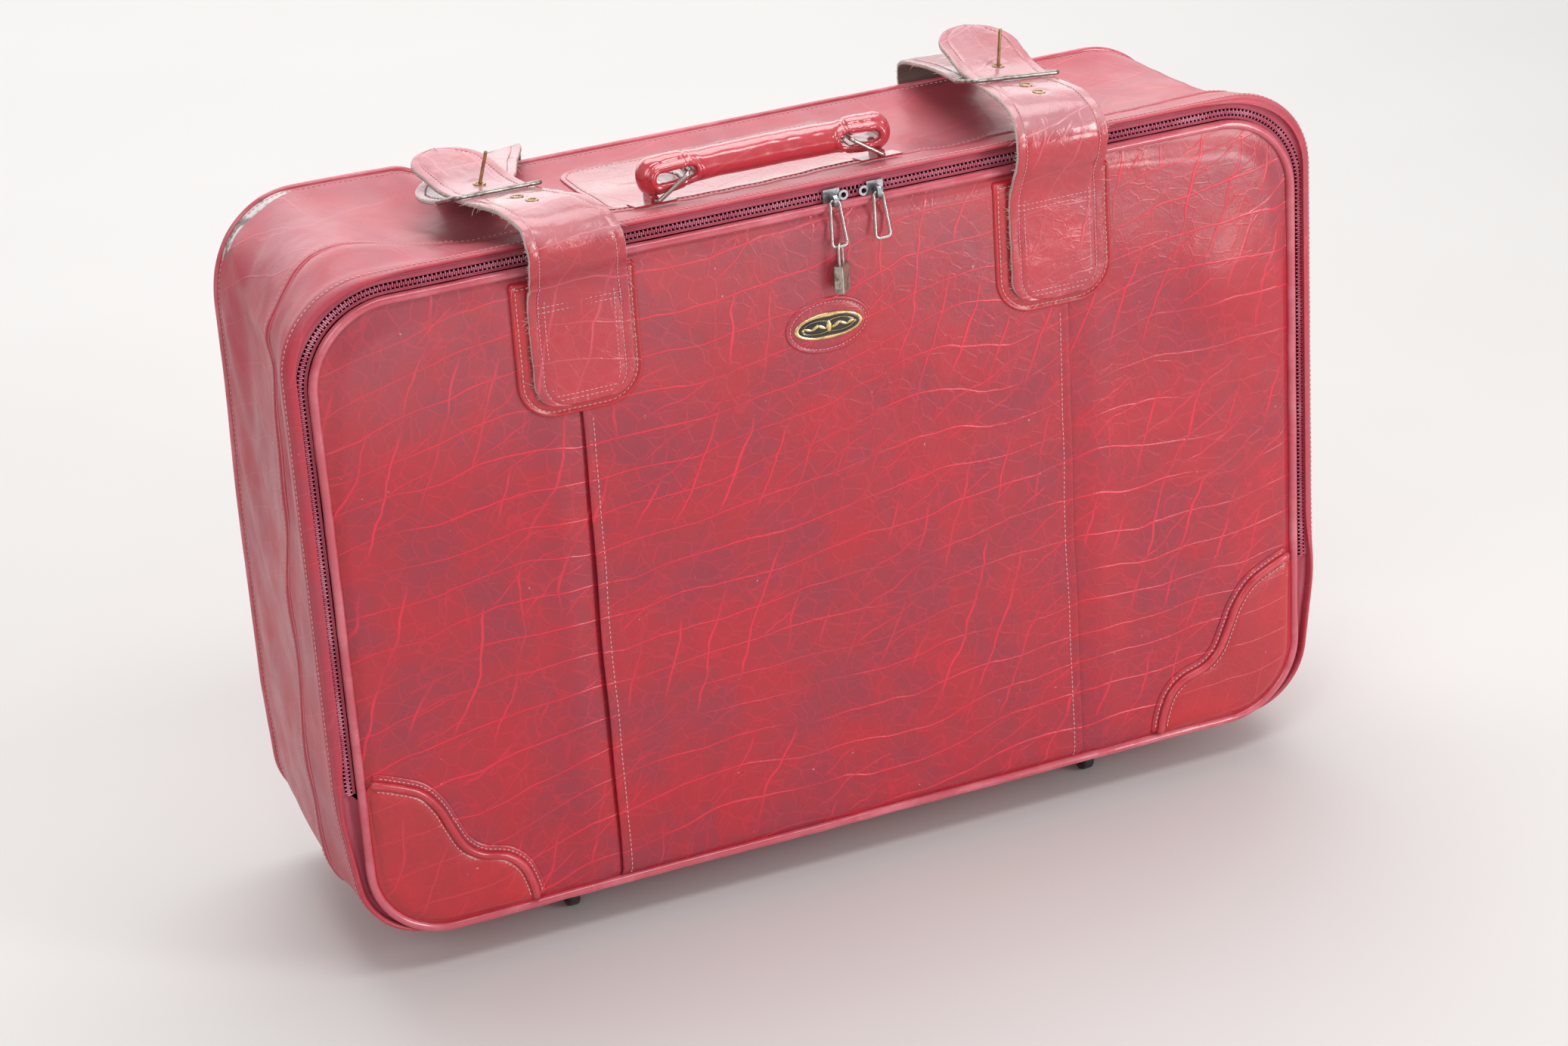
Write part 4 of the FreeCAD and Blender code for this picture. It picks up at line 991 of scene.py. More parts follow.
def zip_coil():
    """The meshed coil: one row of teeth on the lid, one on the case, parted between the two sliders."""
    spots, normals = zip_line(ZIP_OFFSET, 1.5)
    normals = unit(normals)
    along = tangents(spots)
    left, right = middle("zip_slider_left")[0], middle("zip_slider_right")[0]
    top = spots[:, 2] > HEIGHT
    parted = np.where(top & (spots[:, 0] > left) & (spots[:, 0] < right),
                      np.sin((spots[:, 0] - left) / (right - left) * math.pi), 0.0)
    for body, sign in (("lid", -1), ("case", 1)):
        chosen = np.arange(len(spots)) % 2 == (0 if sign < 0 else 1)
        p, n, t = spots[chosen], normals[chosen] * sign, along[chosen]
        shift = (parted[chosen] * 0.9)[:, None]
        across = np.array([-1.15, -0.95, -0.2, 1.6, 2.6])
        radii = np.array([0.40, 0.74, 0.68, 0.60, 0.50])
        a = full_turn(6)
        forward = np.array([0.0, -1.0, 0.0])
        rings = []
        for reach, r in zip(across, radii):
            centre = p + n * (reach + shift) + forward * -2.6
            rings.append([centre + t * (math.cos(q) * r) + forward * (math.sin(q) * r * 1.7) for q in a])
        points = np.asarray(rings).transpose(2, 0, 1, 3)
        tooth = len(across) * len(a)
        faces = tube_faces(len(p), len(across), len(a))
        faces += tuples(np.arange(len(a))[None] + np.arange(len(p))[:, None] * tooth)
        piece(f"zip_coil_{body}", points, faces, COIL, body, [f"zip_teeth_{body}"], "zip_teeth")


def outside_panel(points, grow):
    """For points outside the lid's outline: how far they are from it, less grow, and the way out."""
    r = CORNER_R
    x, h = points[:, 0], points[:, 1]
    dx, dh = np.abs(x) - (HALF_W - r), np.abs(h - HEIGHT / 2) - (HEIGHT / 2 - r)
    way = np.stack([np.maximum(dx, 0) * np.sign(x), np.maximum(dh, 0) * np.sign(h - HEIGHT / 2)], axis=1)
    return np.linalg.norm(way, axis=1) - r - grow, unit(way)


def zip_flange():
    """The smooth strip between the shell's folded edge and the zip, and on past the zip's feet."""
    outline = case_outline(0.0, -2.6, 1.5)
    start = int(np.argmin(np.abs(outline[:, 0] + 300) + 9 * np.abs(outline[:, 1])))
    outline = np.roll(outline, -start, axis=0)
    above = outline[:, 1] > 3.0
    outline = outline[above]
    first = int(np.argmax(np.linalg.norm(np.diff(outline, axis=0, prepend=outline[-1:]), axis=1)))
    outline = np.roll(outline, -first, axis=0)
    grow = 0.5 + 11.0 * smooth((outline[:, 1] - 108) / 16)
    reach, way = outside_panel(outline, grow)
    reach = np.maximum(reach, 0.4)
    rows = []
    for t in np.linspace(0, 1, 9):
        spot = outline - way * (reach * t)[:, None]
        crease = 0.5 * np.sin(t * 9.0 + outline[:, 1] / 60.0) * smooth((160 - outline[:, 1]) / 60)
        flat = flat_path(spot, 0)
        hollow = 1.4 * math.sin(math.pi * t) * smooth((outline[:, 1] - 100) / 40)
        flat[:, 1] = 4.2 - hollow + crease + 1.2 * t * smooth((130 - outline[:, 1]) / 30)
        rows.append(flat)
    points = np.array(rows)
    # The strip takes the darkened tape colour, which is partly painted shade.
    piece("zip_flange", points, grid_faces(*points.shape[:2]), TAPE_SHADED, "case", slot="zip_tape")


centre_panel()
for side in SIDES:
    side_panel(side)
zip_flange()
lid_bead()
shell()
inner_lining()
shell_bead("piping_round_back", DEPTH - 2.0, 2.3, 0.0, ["back_piping"], 5)
shell_bead("piping_mid_seam", WELT_D + 0.6, 1.0, 0.5, ["gusset_mid_welt"], 3)
back_panel()
zip_coil()


# ---- patches sewn on the lid ----
PATCH_GAPS = (0, 0, 0.15, 0.5, 1, 1.8, 2.8, 3.6, 4.2, 4.8, 6, 8, 11, *np.linspace(15, 400, 26))


def patch(name, outline, centre, surface, thickness, material, body, replaces, slot, puff=0.0, rim=0.0):
    """A sewn patch with a rounded edge: an outline filled towards its centre, on surface(u, v, lift)."""
    centre = np.asarray(centre, float)
    reach = np.linalg.norm(outline - centre, axis=1)
    rows = []
    for i, gap in enumerate(PATCH_GAPS):
        t = np.maximum(1 - gap / reach, 0.02 * (len(PATCH_GAPS) - i) / len(PATCH_GAPS))
        ring = centre + (outline - centre) * t[:, None]
        inset = (1 - t) * reach
        rise = thickness * quarter_round(inset) + puff * smooth(inset / 14)
        rise = rise + rim * bump(inset, 1.9, 1.2) - 0.3 * bump(inset, 4.2, 0.7)
        rise = rise if i else np.full(len(ring), -0.6)
        rows.append(surface(ring[:, 0], ring[:, 1], rise))
        if np.all(t < 0.03):
            break
    size = len(rows), len(outline)
    faces = tuples(grid_faces(*size, closed=True)[:, ::-1]) + [end_caps(*size)[1][::-1]]
    piece(name, rows, faces, material, body, replaces, slot)


def lid_normal(count):
    return np.tile([0.0, -1.0, 0.0], (count, 1))


LID_STITCHES, CASE_STITCHES = [], []


def lid_row(outline, inset_lift, closed=True, pitch=3.6, **kwargs):
    """A row of stitches on the lid along an (x, h) line."""
    path = lid_point(outline[:, 0], outline[:, 1], inset_lift)
    LID_STITCHES.append(stitch_mesh(path, lid_normal(len(path)), pitch, closed=closed, **kwargs))


def inset_outline(outline, gap):
    """An (x, h) outline moved inwards."""
    normals = outward(outline)[:, [0, 2]]
    return outline - normals * gap


STRAP_X = {"left": -177.0, "right": 173.0}
UNDERLAY = (44.5, 361.0, 460.0)
UNDERLAY_SHIFT = -2.0


def pair_node(side, name):
    """The node that holds both of a pair is replaced by the left one's piece."""
    return [name] if side == "left" else []


def underlay_outline(side):
    half, low, high = UNDERLAY
    x = STRAP_X[side] + UNDERLAY_SHIFT
    corners = [(x - half, low), (x + half, low), (x + half, high), (x - half, high)]
    return rounded(corners, [27, 27, 3, 3], [16, 16, 4, 4], [8, 30, 24, 30])


def underlays():
    for side in SIDES:
        outline = underlay_outline(side)
        centre = STRAP_X[side] + UNDERLAY_SHIFT, 415
        patch(f"strap_patch_{side}", outline, centre, lid_point, 1.8, HIDE_RED, "lid",
              pair_node(side, "strap_underlays"), "vinyl", rim=0.8)
        lid_row(inset_outline(outline, 4.2), 1.75)


# (x, h) along the S-shaped upper edge of a corner patch, from the side piping to the bottom piping
CORNER_CURVE = (
    (353.5, 124.5), (343, 121), (321, 110), (309, 95), (302, 79), (294, 62), (282, 51),
    (264, 44.5), (253, 34), (247, 18), (245, 6),
)
CORNER_INSET = 2.5


def corner_patch(side):
    """The corner's redder patch, with a corded S-shaped edge and two rows of stitches."""
    s = SIDES[side]
    curve = spline([(s * x, h, 0) for x, h in CORNER_CURVE], 2.0)[:, :2]
    r, w = CORNER_R - CORNER_INSET, HALF_W - CORNER_INSET
    angles = np.linspace(-math.pi / 2, 0, 16)
    corner = np.stack([w - r + r * np.cos(angles), CORNER_INSET + r + r * np.sin(angles)], axis=1) * [s, 1]
    along = np.linspace(curve[-1][0], corner[0][0], 20)[1:-1]
    upwards = np.linspace(corner[-1][1], curve[0][1], 16)[1:-1]
    bottom = np.stack([along, np.full(len(along), CORNER_INSET)], axis=1)
    side_run = np.stack([np.full(len(upwards), corner[-1][0]), upwards], axis=1)
    outline = np.concatenate([curve, bottom, corner, side_run])[::s]
    patch(f"corner_patch_{side}", outline, (s * 322, 45), lid_point, 1.4, HIDE_RED, "lid",
          pair_node(side, "corner_patches"), "corner_vinyl", puff=1.6)
    path = lid_point(curve[:, 0], curve[:, 1], 1.5)
    normals = lid_normal(len(path))
    points, faces = sweep(path, normals, circle(2.9, 14, 0.85))
    piece(f"corner_cord_{side}", points, faces, CORD, "lid", pair_node(side, "corner_welts"), "piping")
    across = np.cross(tangents(path), normals)
    across = across * (1 if across[len(across) // 2, 0] * s < 0 else -1)
    outer = path + across * 4.6
    points, faces = sweep(lid_point(outer[:, 0], outer[:, 2], 0.1), normals, circle(3.4, 10, 0.30))
    piece(f"corner_flange_{side}", points, faces, HIDE, "lid", slot="vinyl")
    for gap, lift in ((4.9, 1.05), (-4.4, 2.1)):
        line = path + across * gap
        spots = lid_point(line[:, 0], line[:, 2], lift)[3:-3]
        LID_STITCHES.append(stitch_mesh(spots, lid_normal(len(spots)), 3.4))


BADGE_H = 384.0


def oval(half_w, half_h, count=72):
    a = full_turn(count)
    return np.stack([half_w * np.cos(a), BADGE_H + half_h * np.sin(a)], axis=1)


# (x, h, half length, half width, turn) of the badge's leaves, the middle one first
LEAF_MIDDLE = (0, 0, 4.6, 1.9, 90)
LEAF_SPRAY = (
    (5.6, 0.3, 4.2, 1.2, 28), (10.6, 0.2, 3.8, 1.1, -24), (15.6, 0.1, 3.4, 1.0, 20), (19.3, 0, 1.1, 1.0, 0),
)


def badge():
    """An oval patch with a gilt-rimmed black plate that carries a plain leaf ornament."""
    centre = 0, BADGE_H
    patch("badge_base", oval(32, 20.6), centre, lid_point, 1.5, HIDE, "lid", ["badge_patch"], "vinyl",
          puff=0.4, rim=0.55)
    lid_row(oval(28.3, 16.9), 1.9, pitch=2.9, length=2.0, radius=0.32)
    level = float(lid_depth(0.0, BADGE_H)) - 1.75

    def face(x, h, lift):
        return np.stack([x, level - lift + 0 * x, h], axis=1)

    def enamel_face(x, h, lift):
        return face(x, h, lift + 0.4)

    patch("badge_rim", oval(25.5, 9.8), centre, face, 1.0, GILT, "lid", ["badge_plate"], "badge_metal",
          rim=0.5)
    patch("badge_enamel", oval(23.2, 7.8), centre, enamel_face, 0.85, ENAMEL, "lid", [], "badge_metal")
    parts = []
    sprays = [(s * x, h, length, width, s * turn)
              for s in (-1, 1) for x, h, length, width, turn in LEAF_SPRAY]
    count = 18
    a = full_turn(count)
    for x, h, length, width, turn in [LEAF_MIDDLE, *sprays]:
        c, q = math.cos(math.radians(turn)), math.sin(math.radians(turn))
        u, v = length * np.cos(a), width * np.sin(a) * np.abs(np.sin(a)) ** 0.4
        ring = np.stack([x + u * c - v * q, BADGE_H + h + u * q + v * c], axis=1)
        rows = []
        for t, d in ((1.0, level - 1.1), (1.0, level - 1.55), (0.75, level - 1.8), (0.2, level - 1.95)):
            heart = np.array([x, BADGE_H + h])
            rows.append(flat_path(heart + (ring - heart) * t, d))
        faces = tuples(grid_faces(4, count, closed=True)[:, ::-1]) + [end_caps(4, count)[1][::-1]]
        parts.append((np.concatenate(rows), faces))
    piece("badge_leaves", *join(parts), GILT, "lid", slot="badge_metal")


def panel_seam_rows():
    for s in (-1, 1):
        h = np.arange(6, 356, 2.0)
        x = s * (SEAM_X - 6.2) + wander(h)
        lid_row(np.stack([x, h], axis=1), 1.15, closed=False, pitch=3.8)


# ---- straps ----
STRAP_T = 3.0
STITCH_GAP = 6.6
STRAP_HALF = 29.0
BEND_HALF = 34.0
TAB_HALF = 35.5
BAR_AHEAD, BAR_UNDERSIDE = 29.0, 6.4
TAB_BOTTOM, TAB_TOP = 369.0, 442.0
BUCKLE_TURN = {"left": (12, 5, -5), "right": (0, 5, 0)}
# (x from the strap's middle, d, h) over the bend between a strap's tab and its buckle
STRAP_ARCH = {
    "left": ((0, -10.5, 458), (-2, -18.5, 472), (-4, -21.5, 487),
             (-7, -12, 500), (-13, 9, 504.5), (-19, 32, 502.5)),
    "right": ((0, -10.5, 458), (0, -18.5, 473), (0, -21.0, 490),
              (0, -12, 504), (0, 7, 510), (0, 26, 510)),
}
REAR_STRAP_X = {"left": -163.0, "right": 193.0}
REAR_ARCH = {
    "left": ((2, 13, 446), (3, 13, 459), (-1, 2, 469.5), (-15, -30, 476.5), (-30, -70, 483)),
    "right": ((0, 14, 448), (0, 16, 462), (-2, 4, 475), (-9, -40, 487), (-15, -80, 496)),
}
STRAP_TAIL = ((-29, 4.6), (0, 6.3), (22, 12), (40, 17), (50, 19.5), (56, 20.8))


def joint_spot(name):
    found = [j for j in frame["joints"] if j["name"] == name][0]
    return local(found["pos_m"])


def buckle_axes(side):
    """The buckle's pivot point and its own x, y and z directions."""
    turns = [Matrix.Rotation(math.radians(a), 3, axis) for a, axis in zip(BUCKLE_TURN[side], "ZYX")]
    turn = np.array(turns[0] @ turns[1] @ turns[2])
    return joint_spot(f"buckle_{side}_tilt"), turn


def in_buckle(side, x, y, z):
    spot, turn = buckle_axes(side)
    return spot + turn @ np.array([x, y, z], float)


def turned(across, t):
    """A strap's sideways direction, a share t of the way from the case's to its buckle's."""
    return unit(np.array([1.0, 0, 0]) * (1 - t) + across * t)


def strap_line(side):
    """The front strap's centre line, sideways directions and half widths, from foot to tip."""
    x0 = STRAP_X[side]
    across = buckle_axes(side)[1][:, 0]
    face = -5.6 - STRAP_T / 2
    rows = [((x0, face, h), 0.0, TAB_HALF) for h in (TAB_BOTTOM, 404, TAB_TOP)]
    arch = STRAP_ARCH[side]
    for i, (x, y, z) in enumerate(arch):
        half = BEND_HALF + (STRAP_HALF - BEND_HALF) * max(i - 2, 0) / (len(arch) - 2)
        rows.append(((x0 + x, y, z), (i + 1) / (len(arch) + 1), half))
    rows += [(tuple(in_buckle(side, 0, a, r)), 1.0, STRAP_HALF) for a, r in STRAP_TAIL]
    data = [(*p, *turned(across, t), half) for p, t, half in rows]
    line = spline(data, 1.6)
    return line[:, :3], unit(line[:, 3:6]), line[:, 6]


def rear_line(side):
    x0 = REAR_STRAP_X[side]
    across = buckle_axes(side)[1][:, 0]
    face = DEPTH + STRAP_T / 2 + 0.7
    arch = REAR_ARCH[side]
    rows = [((x0, face, TAB_BOTTOM), 0.0), ((x0, face, 400), 0.0), ((x0 + 2, face + 1.0, 436), 0.0)]
    rows += [((x0 + x, y + DEPTH, z), (i + 1) / (len(arch) + 1)) for i, (x, y, z) in enumerate(arch)]
    rows += [(tuple(in_buckle(side, 0, 26, -3)), 1.0), (tuple(in_buckle(side, 0, 6, -2.2)), 1.0)]
    data = [(*p, *turned(across, t)) for p, t in rows]
    line = spline(data, 1.6)
    return line[:, :3], unit(line[:, 3:])


EDGE_STEPS = np.array([
    0.0, 0.25, 0.7, 1.4, 2.6, 4.4, 5.9, 6.6, 7.3, 9.0,
    12.0, 15.0, 18.0, 20.5, 22.5, 24.0, 25.5, 27.0, 28.5, 30.2, 32.0,
])


def eyelet_tops(side):
    """The top of each eyelet down a front strap: its centre, and the way it faces."""
    rings = frame["nodes"][f"strap_eyelets_{side}"]
    at = rings.matrix_world
    places = local(vertices(rings.data) @ np.array(at.to_3x3()).T + np.array(at.translation))
    order = places[np.argsort(places[:, 1])]
    breaks = np.flatnonzero(np.diff(order[:, 1]) > 6.0) + 1
    found = []
    for group in np.split(order, breaks):
        centre = group.mean(axis=0)
        spread = np.linalg.svd(group - centre, full_matrices=False)[2]
        facing = spread[2] * (1 if spread[2][2] > 0 else -1)
        found.append((centre + facing * np.max((group - centre) @ facing), facing))
    return found


def pressed(places, spots, drop=0.5, reach=5.2, fade=4.5):
    """Places pushed down where they would stand over an eyelet's rim."""
    for spot, facing in spots:
        offset = places - spot
        height = offset @ facing
        aside = np.linalg.norm(offset - height[..., None] * facing, axis=-1)
        near = (1 - smooth((aside - reach) / fade)) * (np.abs(height) < 12)
        excess = np.maximum(height + drop, 0) * near
        places = places - facing * excess[..., None]
    return places


def under_bar(side, places, ceiling):
    """Places pressed down where they would stand into a buckle's front bar."""
    if side is None:
        return places
    spot, turn = buckle_axes(side)
    own = (places - spot) @ turn
    near = 1 - smooth((np.abs(own[..., 1] + BAR_AHEAD) - 3.5) / 9.0)
    excess = np.maximum(own[..., 2] - ceiling, 0) * near
    return places - excess[..., None] * turn[:, 2]


def strap_piece(name, path, across, half, facing, material, body, replaces, side=None, seed=0.0):
    """A flat two-ply strap with cut edges, domed on its face, with a furrow under each row of stitches.

    It gives the strap's path, sideways directions and normals.
    """
    along = tangents(path)
    across = unit(across - along * np.sum(across * along, axis=1)[:, None])
    normal = unit(np.cross(across, along)) * facing
    gaps = np.concatenate([EDGE_STEPS, EDGE_STEPS[-2::-1]])
    signs = np.concatenate([np.full(len(EDGE_STEPS), -1.0), np.full(len(EDGE_STEPS) - 1, 1.0)])
    reach = np.maximum(half[:, None] - gaps[None], 0.0) * signs
    fray = rumple(path, 3.1, seed) * 0.35 + rumple(path, 9.0, seed + 1) * 0.4
    edge_shift = np.exp(-gaps / 2.0)[None] * fray[:, None] * signs
    face = STRAP_T / 2 * (0.45 + 0.55 * quarter_round(gaps / 1.1))
    face = face + 0.45 * smooth(gaps / 14) - 0.42 * bump(gaps, STITCH_GAP, 0.75)
    top = path[:, None] + across[:, None] * (reach + edge_shift)[..., None]
    sink = normal[:, None] * face[None, :, None]
    columns = top.transpose(1, 0, 2)
    wrinkle = [rumple(col, 7.5, seed + 3) * 0.22 + rumple(col, 30, seed + 4) * 0.6 for col in columns]
    wrinkle = np.stack(wrinkle, axis=1) * smooth(gaps / 5)[None]
    top = under_bar(side, top + sink + normal[:, None] * wrinkle[..., None], BAR_UNDERSIDE)
    if side:
        top = pressed(top, eyelet_tops(side))
    last = len(gaps) - 1
    picked = np.array([0, 3, 8, 13, last // 2, last - 13, last - 8, last - 3, last])
    low = path[:, None] + across[:, None] * (reach + edge_shift)[:, picked][..., None]
    low = low - normal[:, None] * (STRAP_T / 2) + normal[:, None] * wrinkle[:, picked][..., None] * 0.8
    low = under_bar(side, low, BAR_UNDERSIDE - STRAP_T)
    ring = np.concatenate([top, low[:, ::-1]], axis=1)
    rows, cols = ring.shape[:2]
    faces = tuples(grid_faces(rows, cols, closed=True)[:, ::facing])
    faces += [cap[::facing] for cap in end_caps(rows, cols)]
    made = piece(name, ring, faces, material, body, replaces, "vinyl")
    # Cut edges take the raw cloth; the underside takes the dark backing, which paints the shade under the
    # strap.
    made.data.materials.append(RAW)
    made.data.materials.append(BACKING_IN_SHADE)
    n = top.shape[1]
    cut_edges = {0, 1}, {0, cols - 1}, {n - 1, n}, {n - 2, n - 1}
    for polygon in made.data.polygons:
        columns = {v % cols for v in polygon.vertices}
        if columns in cut_edges or len(columns) > 4:
            polygon.material_index = 1
        elif min(columns) >= n:
            polygon.material_index = 2
    return path, across, normal


def tapered(path, half, tail=28.0, foot=19.0):
    """Half widths along a strap with a rounded foot and tip, and the lengths along it."""
    lengths = np.concatenate([[0], np.cumsum(np.linalg.norm(np.diff(path, axis=0), axis=1))])
    left = lengths[-1] - lengths
    tip = np.clip(1 - left / tail, 0, 1)
    half = np.where(left < tail, half * np.sqrt(np.clip(1 - tip**2.2, 0.0, 1)) + 0.2, half)
    base = np.clip(1 - lengths / foot, 0, 1)
    rounded_foot = half - foot + foot * np.sqrt(np.clip(1 - base**2, 0.0, 1))
    return np.where(lengths < foot, rounded_foot, half), lengths


STRAP_STITCH = (3.3, 2.3, 0.36)


def strap_rows(frame_of, half, lengths, gap, store, start, end, lift=STRAP_T / 2 + 0.12):
    """Rows of stitches along both edges of a strap."""
    path, across, normal = frame_of
    chosen = (lengths >= start) & (lengths <= end)
    for s in (-1, 1):
        line = path + across * ((half - gap) * s)[:, None] + normal * lift
        store.append(stitch_mesh(line[chosen], normal[chosen], *STRAP_STITCH))


def wisps(name, frame_of, half, count, body, seed, sides=(-1, 1)):
    """Short frayed threads along a strap's cut edges."""
    path, across, normal = frame_of
    rng = np.random.default_rng(seed)
    parts = []
    for _ in range(count):
        i = int(rng.integers(6, len(path) - 14))
        s = sides[int(rng.integers(0, len(sides)))]
        start = path[i] + across[i] * s * (half[i] - 0.3) + normal[i] * rng.uniform(-1.2, 1.0)
        out = across[i] * s * rng.uniform(0.5, 1.0) + normal[i] * rng.uniform(-0.8, 0.8)
        out = unit(out + (path[i + 1] - path[i]) * rng.uniform(-0.4, 0.4))
        bend = unit(rng.normal(size=3)) * 0.8
        length = rng.uniform(1.0, 3.2) if rng.random() < 0.93 else rng.uniform(5, 9)
        line = [start + out * length * t + bend * length * t * t * 0.5 for t in np.linspace(0, 1, 5)]
        hint = np.tile(unit(np.cross(out, [0.3, 0.5, 0.8])), (5, 1))
        profile = circle(0.16, 4)[None] * np.linspace(1.2, 0.5, 5)[:, None, None]
        parts.append(sweep(np.array(line), hint, profile))
    piece(name, *join(parts), RAW, body, slot="vinyl")


def front_straps():
    for side in SIDES:
        path, across, half = strap_line(side)
        half, lengths = tapered(path, half)
        covered = [f"front_strap_{side}"]
        framed = strap_piece(f"strap_{side}", path, across, half, 1, HIDE_STRAP, "lid", covered,
                             side, 11 + SIDES[side])
        strap_rows(framed, half, lengths, STITCH_GAP, LID_STITCHES, 8, lengths[-1] - 7)
        strap_rows(framed, half, lengths, 11.0, LID_STITCHES, 12, 76, STRAP_T / 2 + 0.3)
        p, a, n = framed
        for height in (373.2, 377.6, 438.0, 442.2):
            i = int(np.argmin(np.abs(p[:, 2] - height) + 100 * (lengths > 90)))
            width = half[i] - (7 if height > 400 else 12)
            line = p[i] + a[i] * np.linspace(-width, width, 30)[:, None] + n[i] * (STRAP_T / 2 + 0.38)
            LID_STITCHES.append(stitch_mesh(line, np.tile(n[i], (30, 1)), *STRAP_STITCH))
        wisps(f"strap_fray_{side}", framed, half, 240, "lid", 7 + SIDES[side], sides=(-1, -1, 1))


def rear_straps():
    for side in SIDES:
        path, across = rear_line(side)
        half, lengths = tapered(path, np.full(len(path), STRAP_HALF), 0.01, 12.0)
        covered = [f"rear_strap_{side}"]
        framed = strap_piece(f"rear_loop_{side}", path, across, half, -1, HIDE_STRAP, "case", covered,
                             seed=21 + SIDES[side])
        strap_rows(framed, half, lengths, STITCH_GAP, CASE_STITCHES, 8, lengths[-1] - 4)
        wisps(f"rear_fray_{side}", framed, half, 60, "case", 17 + SIDES[side])


# ---- the top: handle and its patch ----
TOP_ROWS = np.arange(6.0, 212.0, 4.0)
TOP_XS = np.linspace(-300, 300, 301)
TOP_STEP, TOP_X_STEP = TOP_ROWS[1] - TOP_ROWS[0], TOP_XS[1] - TOP_XS[0]


def top_heights():
    """The soft top's height at each d and x, found by dropping rays on the shell."""
    mesh = bpy.data.objects["soft_shell"].data
    tree = BVHTree.FromPolygons(local(vertices(mesh)).tolist(), [tuple(f.vertices) for f in mesh.polygons])
    rows = []
    for d in TOP_ROWS:
        hits = [tree.ray_cast(Vector((x, d, 600.0)), Vector((0, 0, -1)))[0] for x in TOP_XS]
        rows.append([hit.z if hit else HEIGHT for hit in hits])
    return np.array(rows)


TOP_H = top_heights()


def on_top(x, d, lift=0.0):
    """A place on the case's soft top, or a little above it."""
    row = np.clip((np.asarray(d, float) - TOP_ROWS[0]) / TOP_STEP, 0, len(TOP_ROWS) - 1.001)
    col = np.clip((np.asarray(x, float) - TOP_XS[0]) / TOP_X_STEP, 0, len(TOP_XS) - 1.001)
    r, c = row.astype(int), col.astype(int)
    a, b = row - r, col - c
    low = TOP_H[r, c] * (1 - b) + TOP_H[r, c + 1] * b
    high = TOP_H[r + 1, c] * (1 - b) + TOP_H[r + 1, c + 1] * b
    return np.stack([x, d, low * (1 - a) + high * a + lift], axis=-1)


GRIP_X, GRIP_D, GRIP_H = -18.0, 47.0, 495.0
GRIP_HALF, GRIP_R = 92.0, 11.0
CUFF_X = 59.0
GRIP_SIDES = 40
# each end's slot for its bail: nearest and farthest from the grip's middle, half height
SLOT = (52.6, 82.4, 4.4)


def grip_arch(u):
    return 2.2 * (1 - (u / 80.0) ** 2) * (np.abs(u) < 80)


def stadium(near, far, half, y0, y1, count=14):
    """A slot's rounded prism, through from y0 to y1."""
    a = np.linspace(-math.pi / 2, math.pi / 2, count)
    right = np.stack([far - half + half * np.cos(a), half * np.sin(a)], axis=1)
    left = np.stack([near + half - half * np.cos(a), -half * np.sin(a)], axis=1)
    ring = np.concatenate([right, left])
    points = np.concatenate([flat_path(ring, y) for y in (y0, y1)])
    return points, tuples(grid_faces(2, len(ring), closed=True)) + end_caps(2, len(ring))


def raw_object(name, points, faces):
    mesh = bpy.data.meshes.new(name)
    mesh.from_pydata((np.asarray(points) * MM).tolist(), [], [tuple(int(i) for i in f) for f in faces])
    solid = bmesh.new()
    solid.from_mesh(mesh)
    bmesh.ops.recalc_face_normals(solid, faces=solid.faces)
    solid.to_mesh(mesh)
    solid.free()
    obj = bpy.data.objects.new(name, mesh)
    bpy.context.scene.collection.objects.link(obj)
    return obj


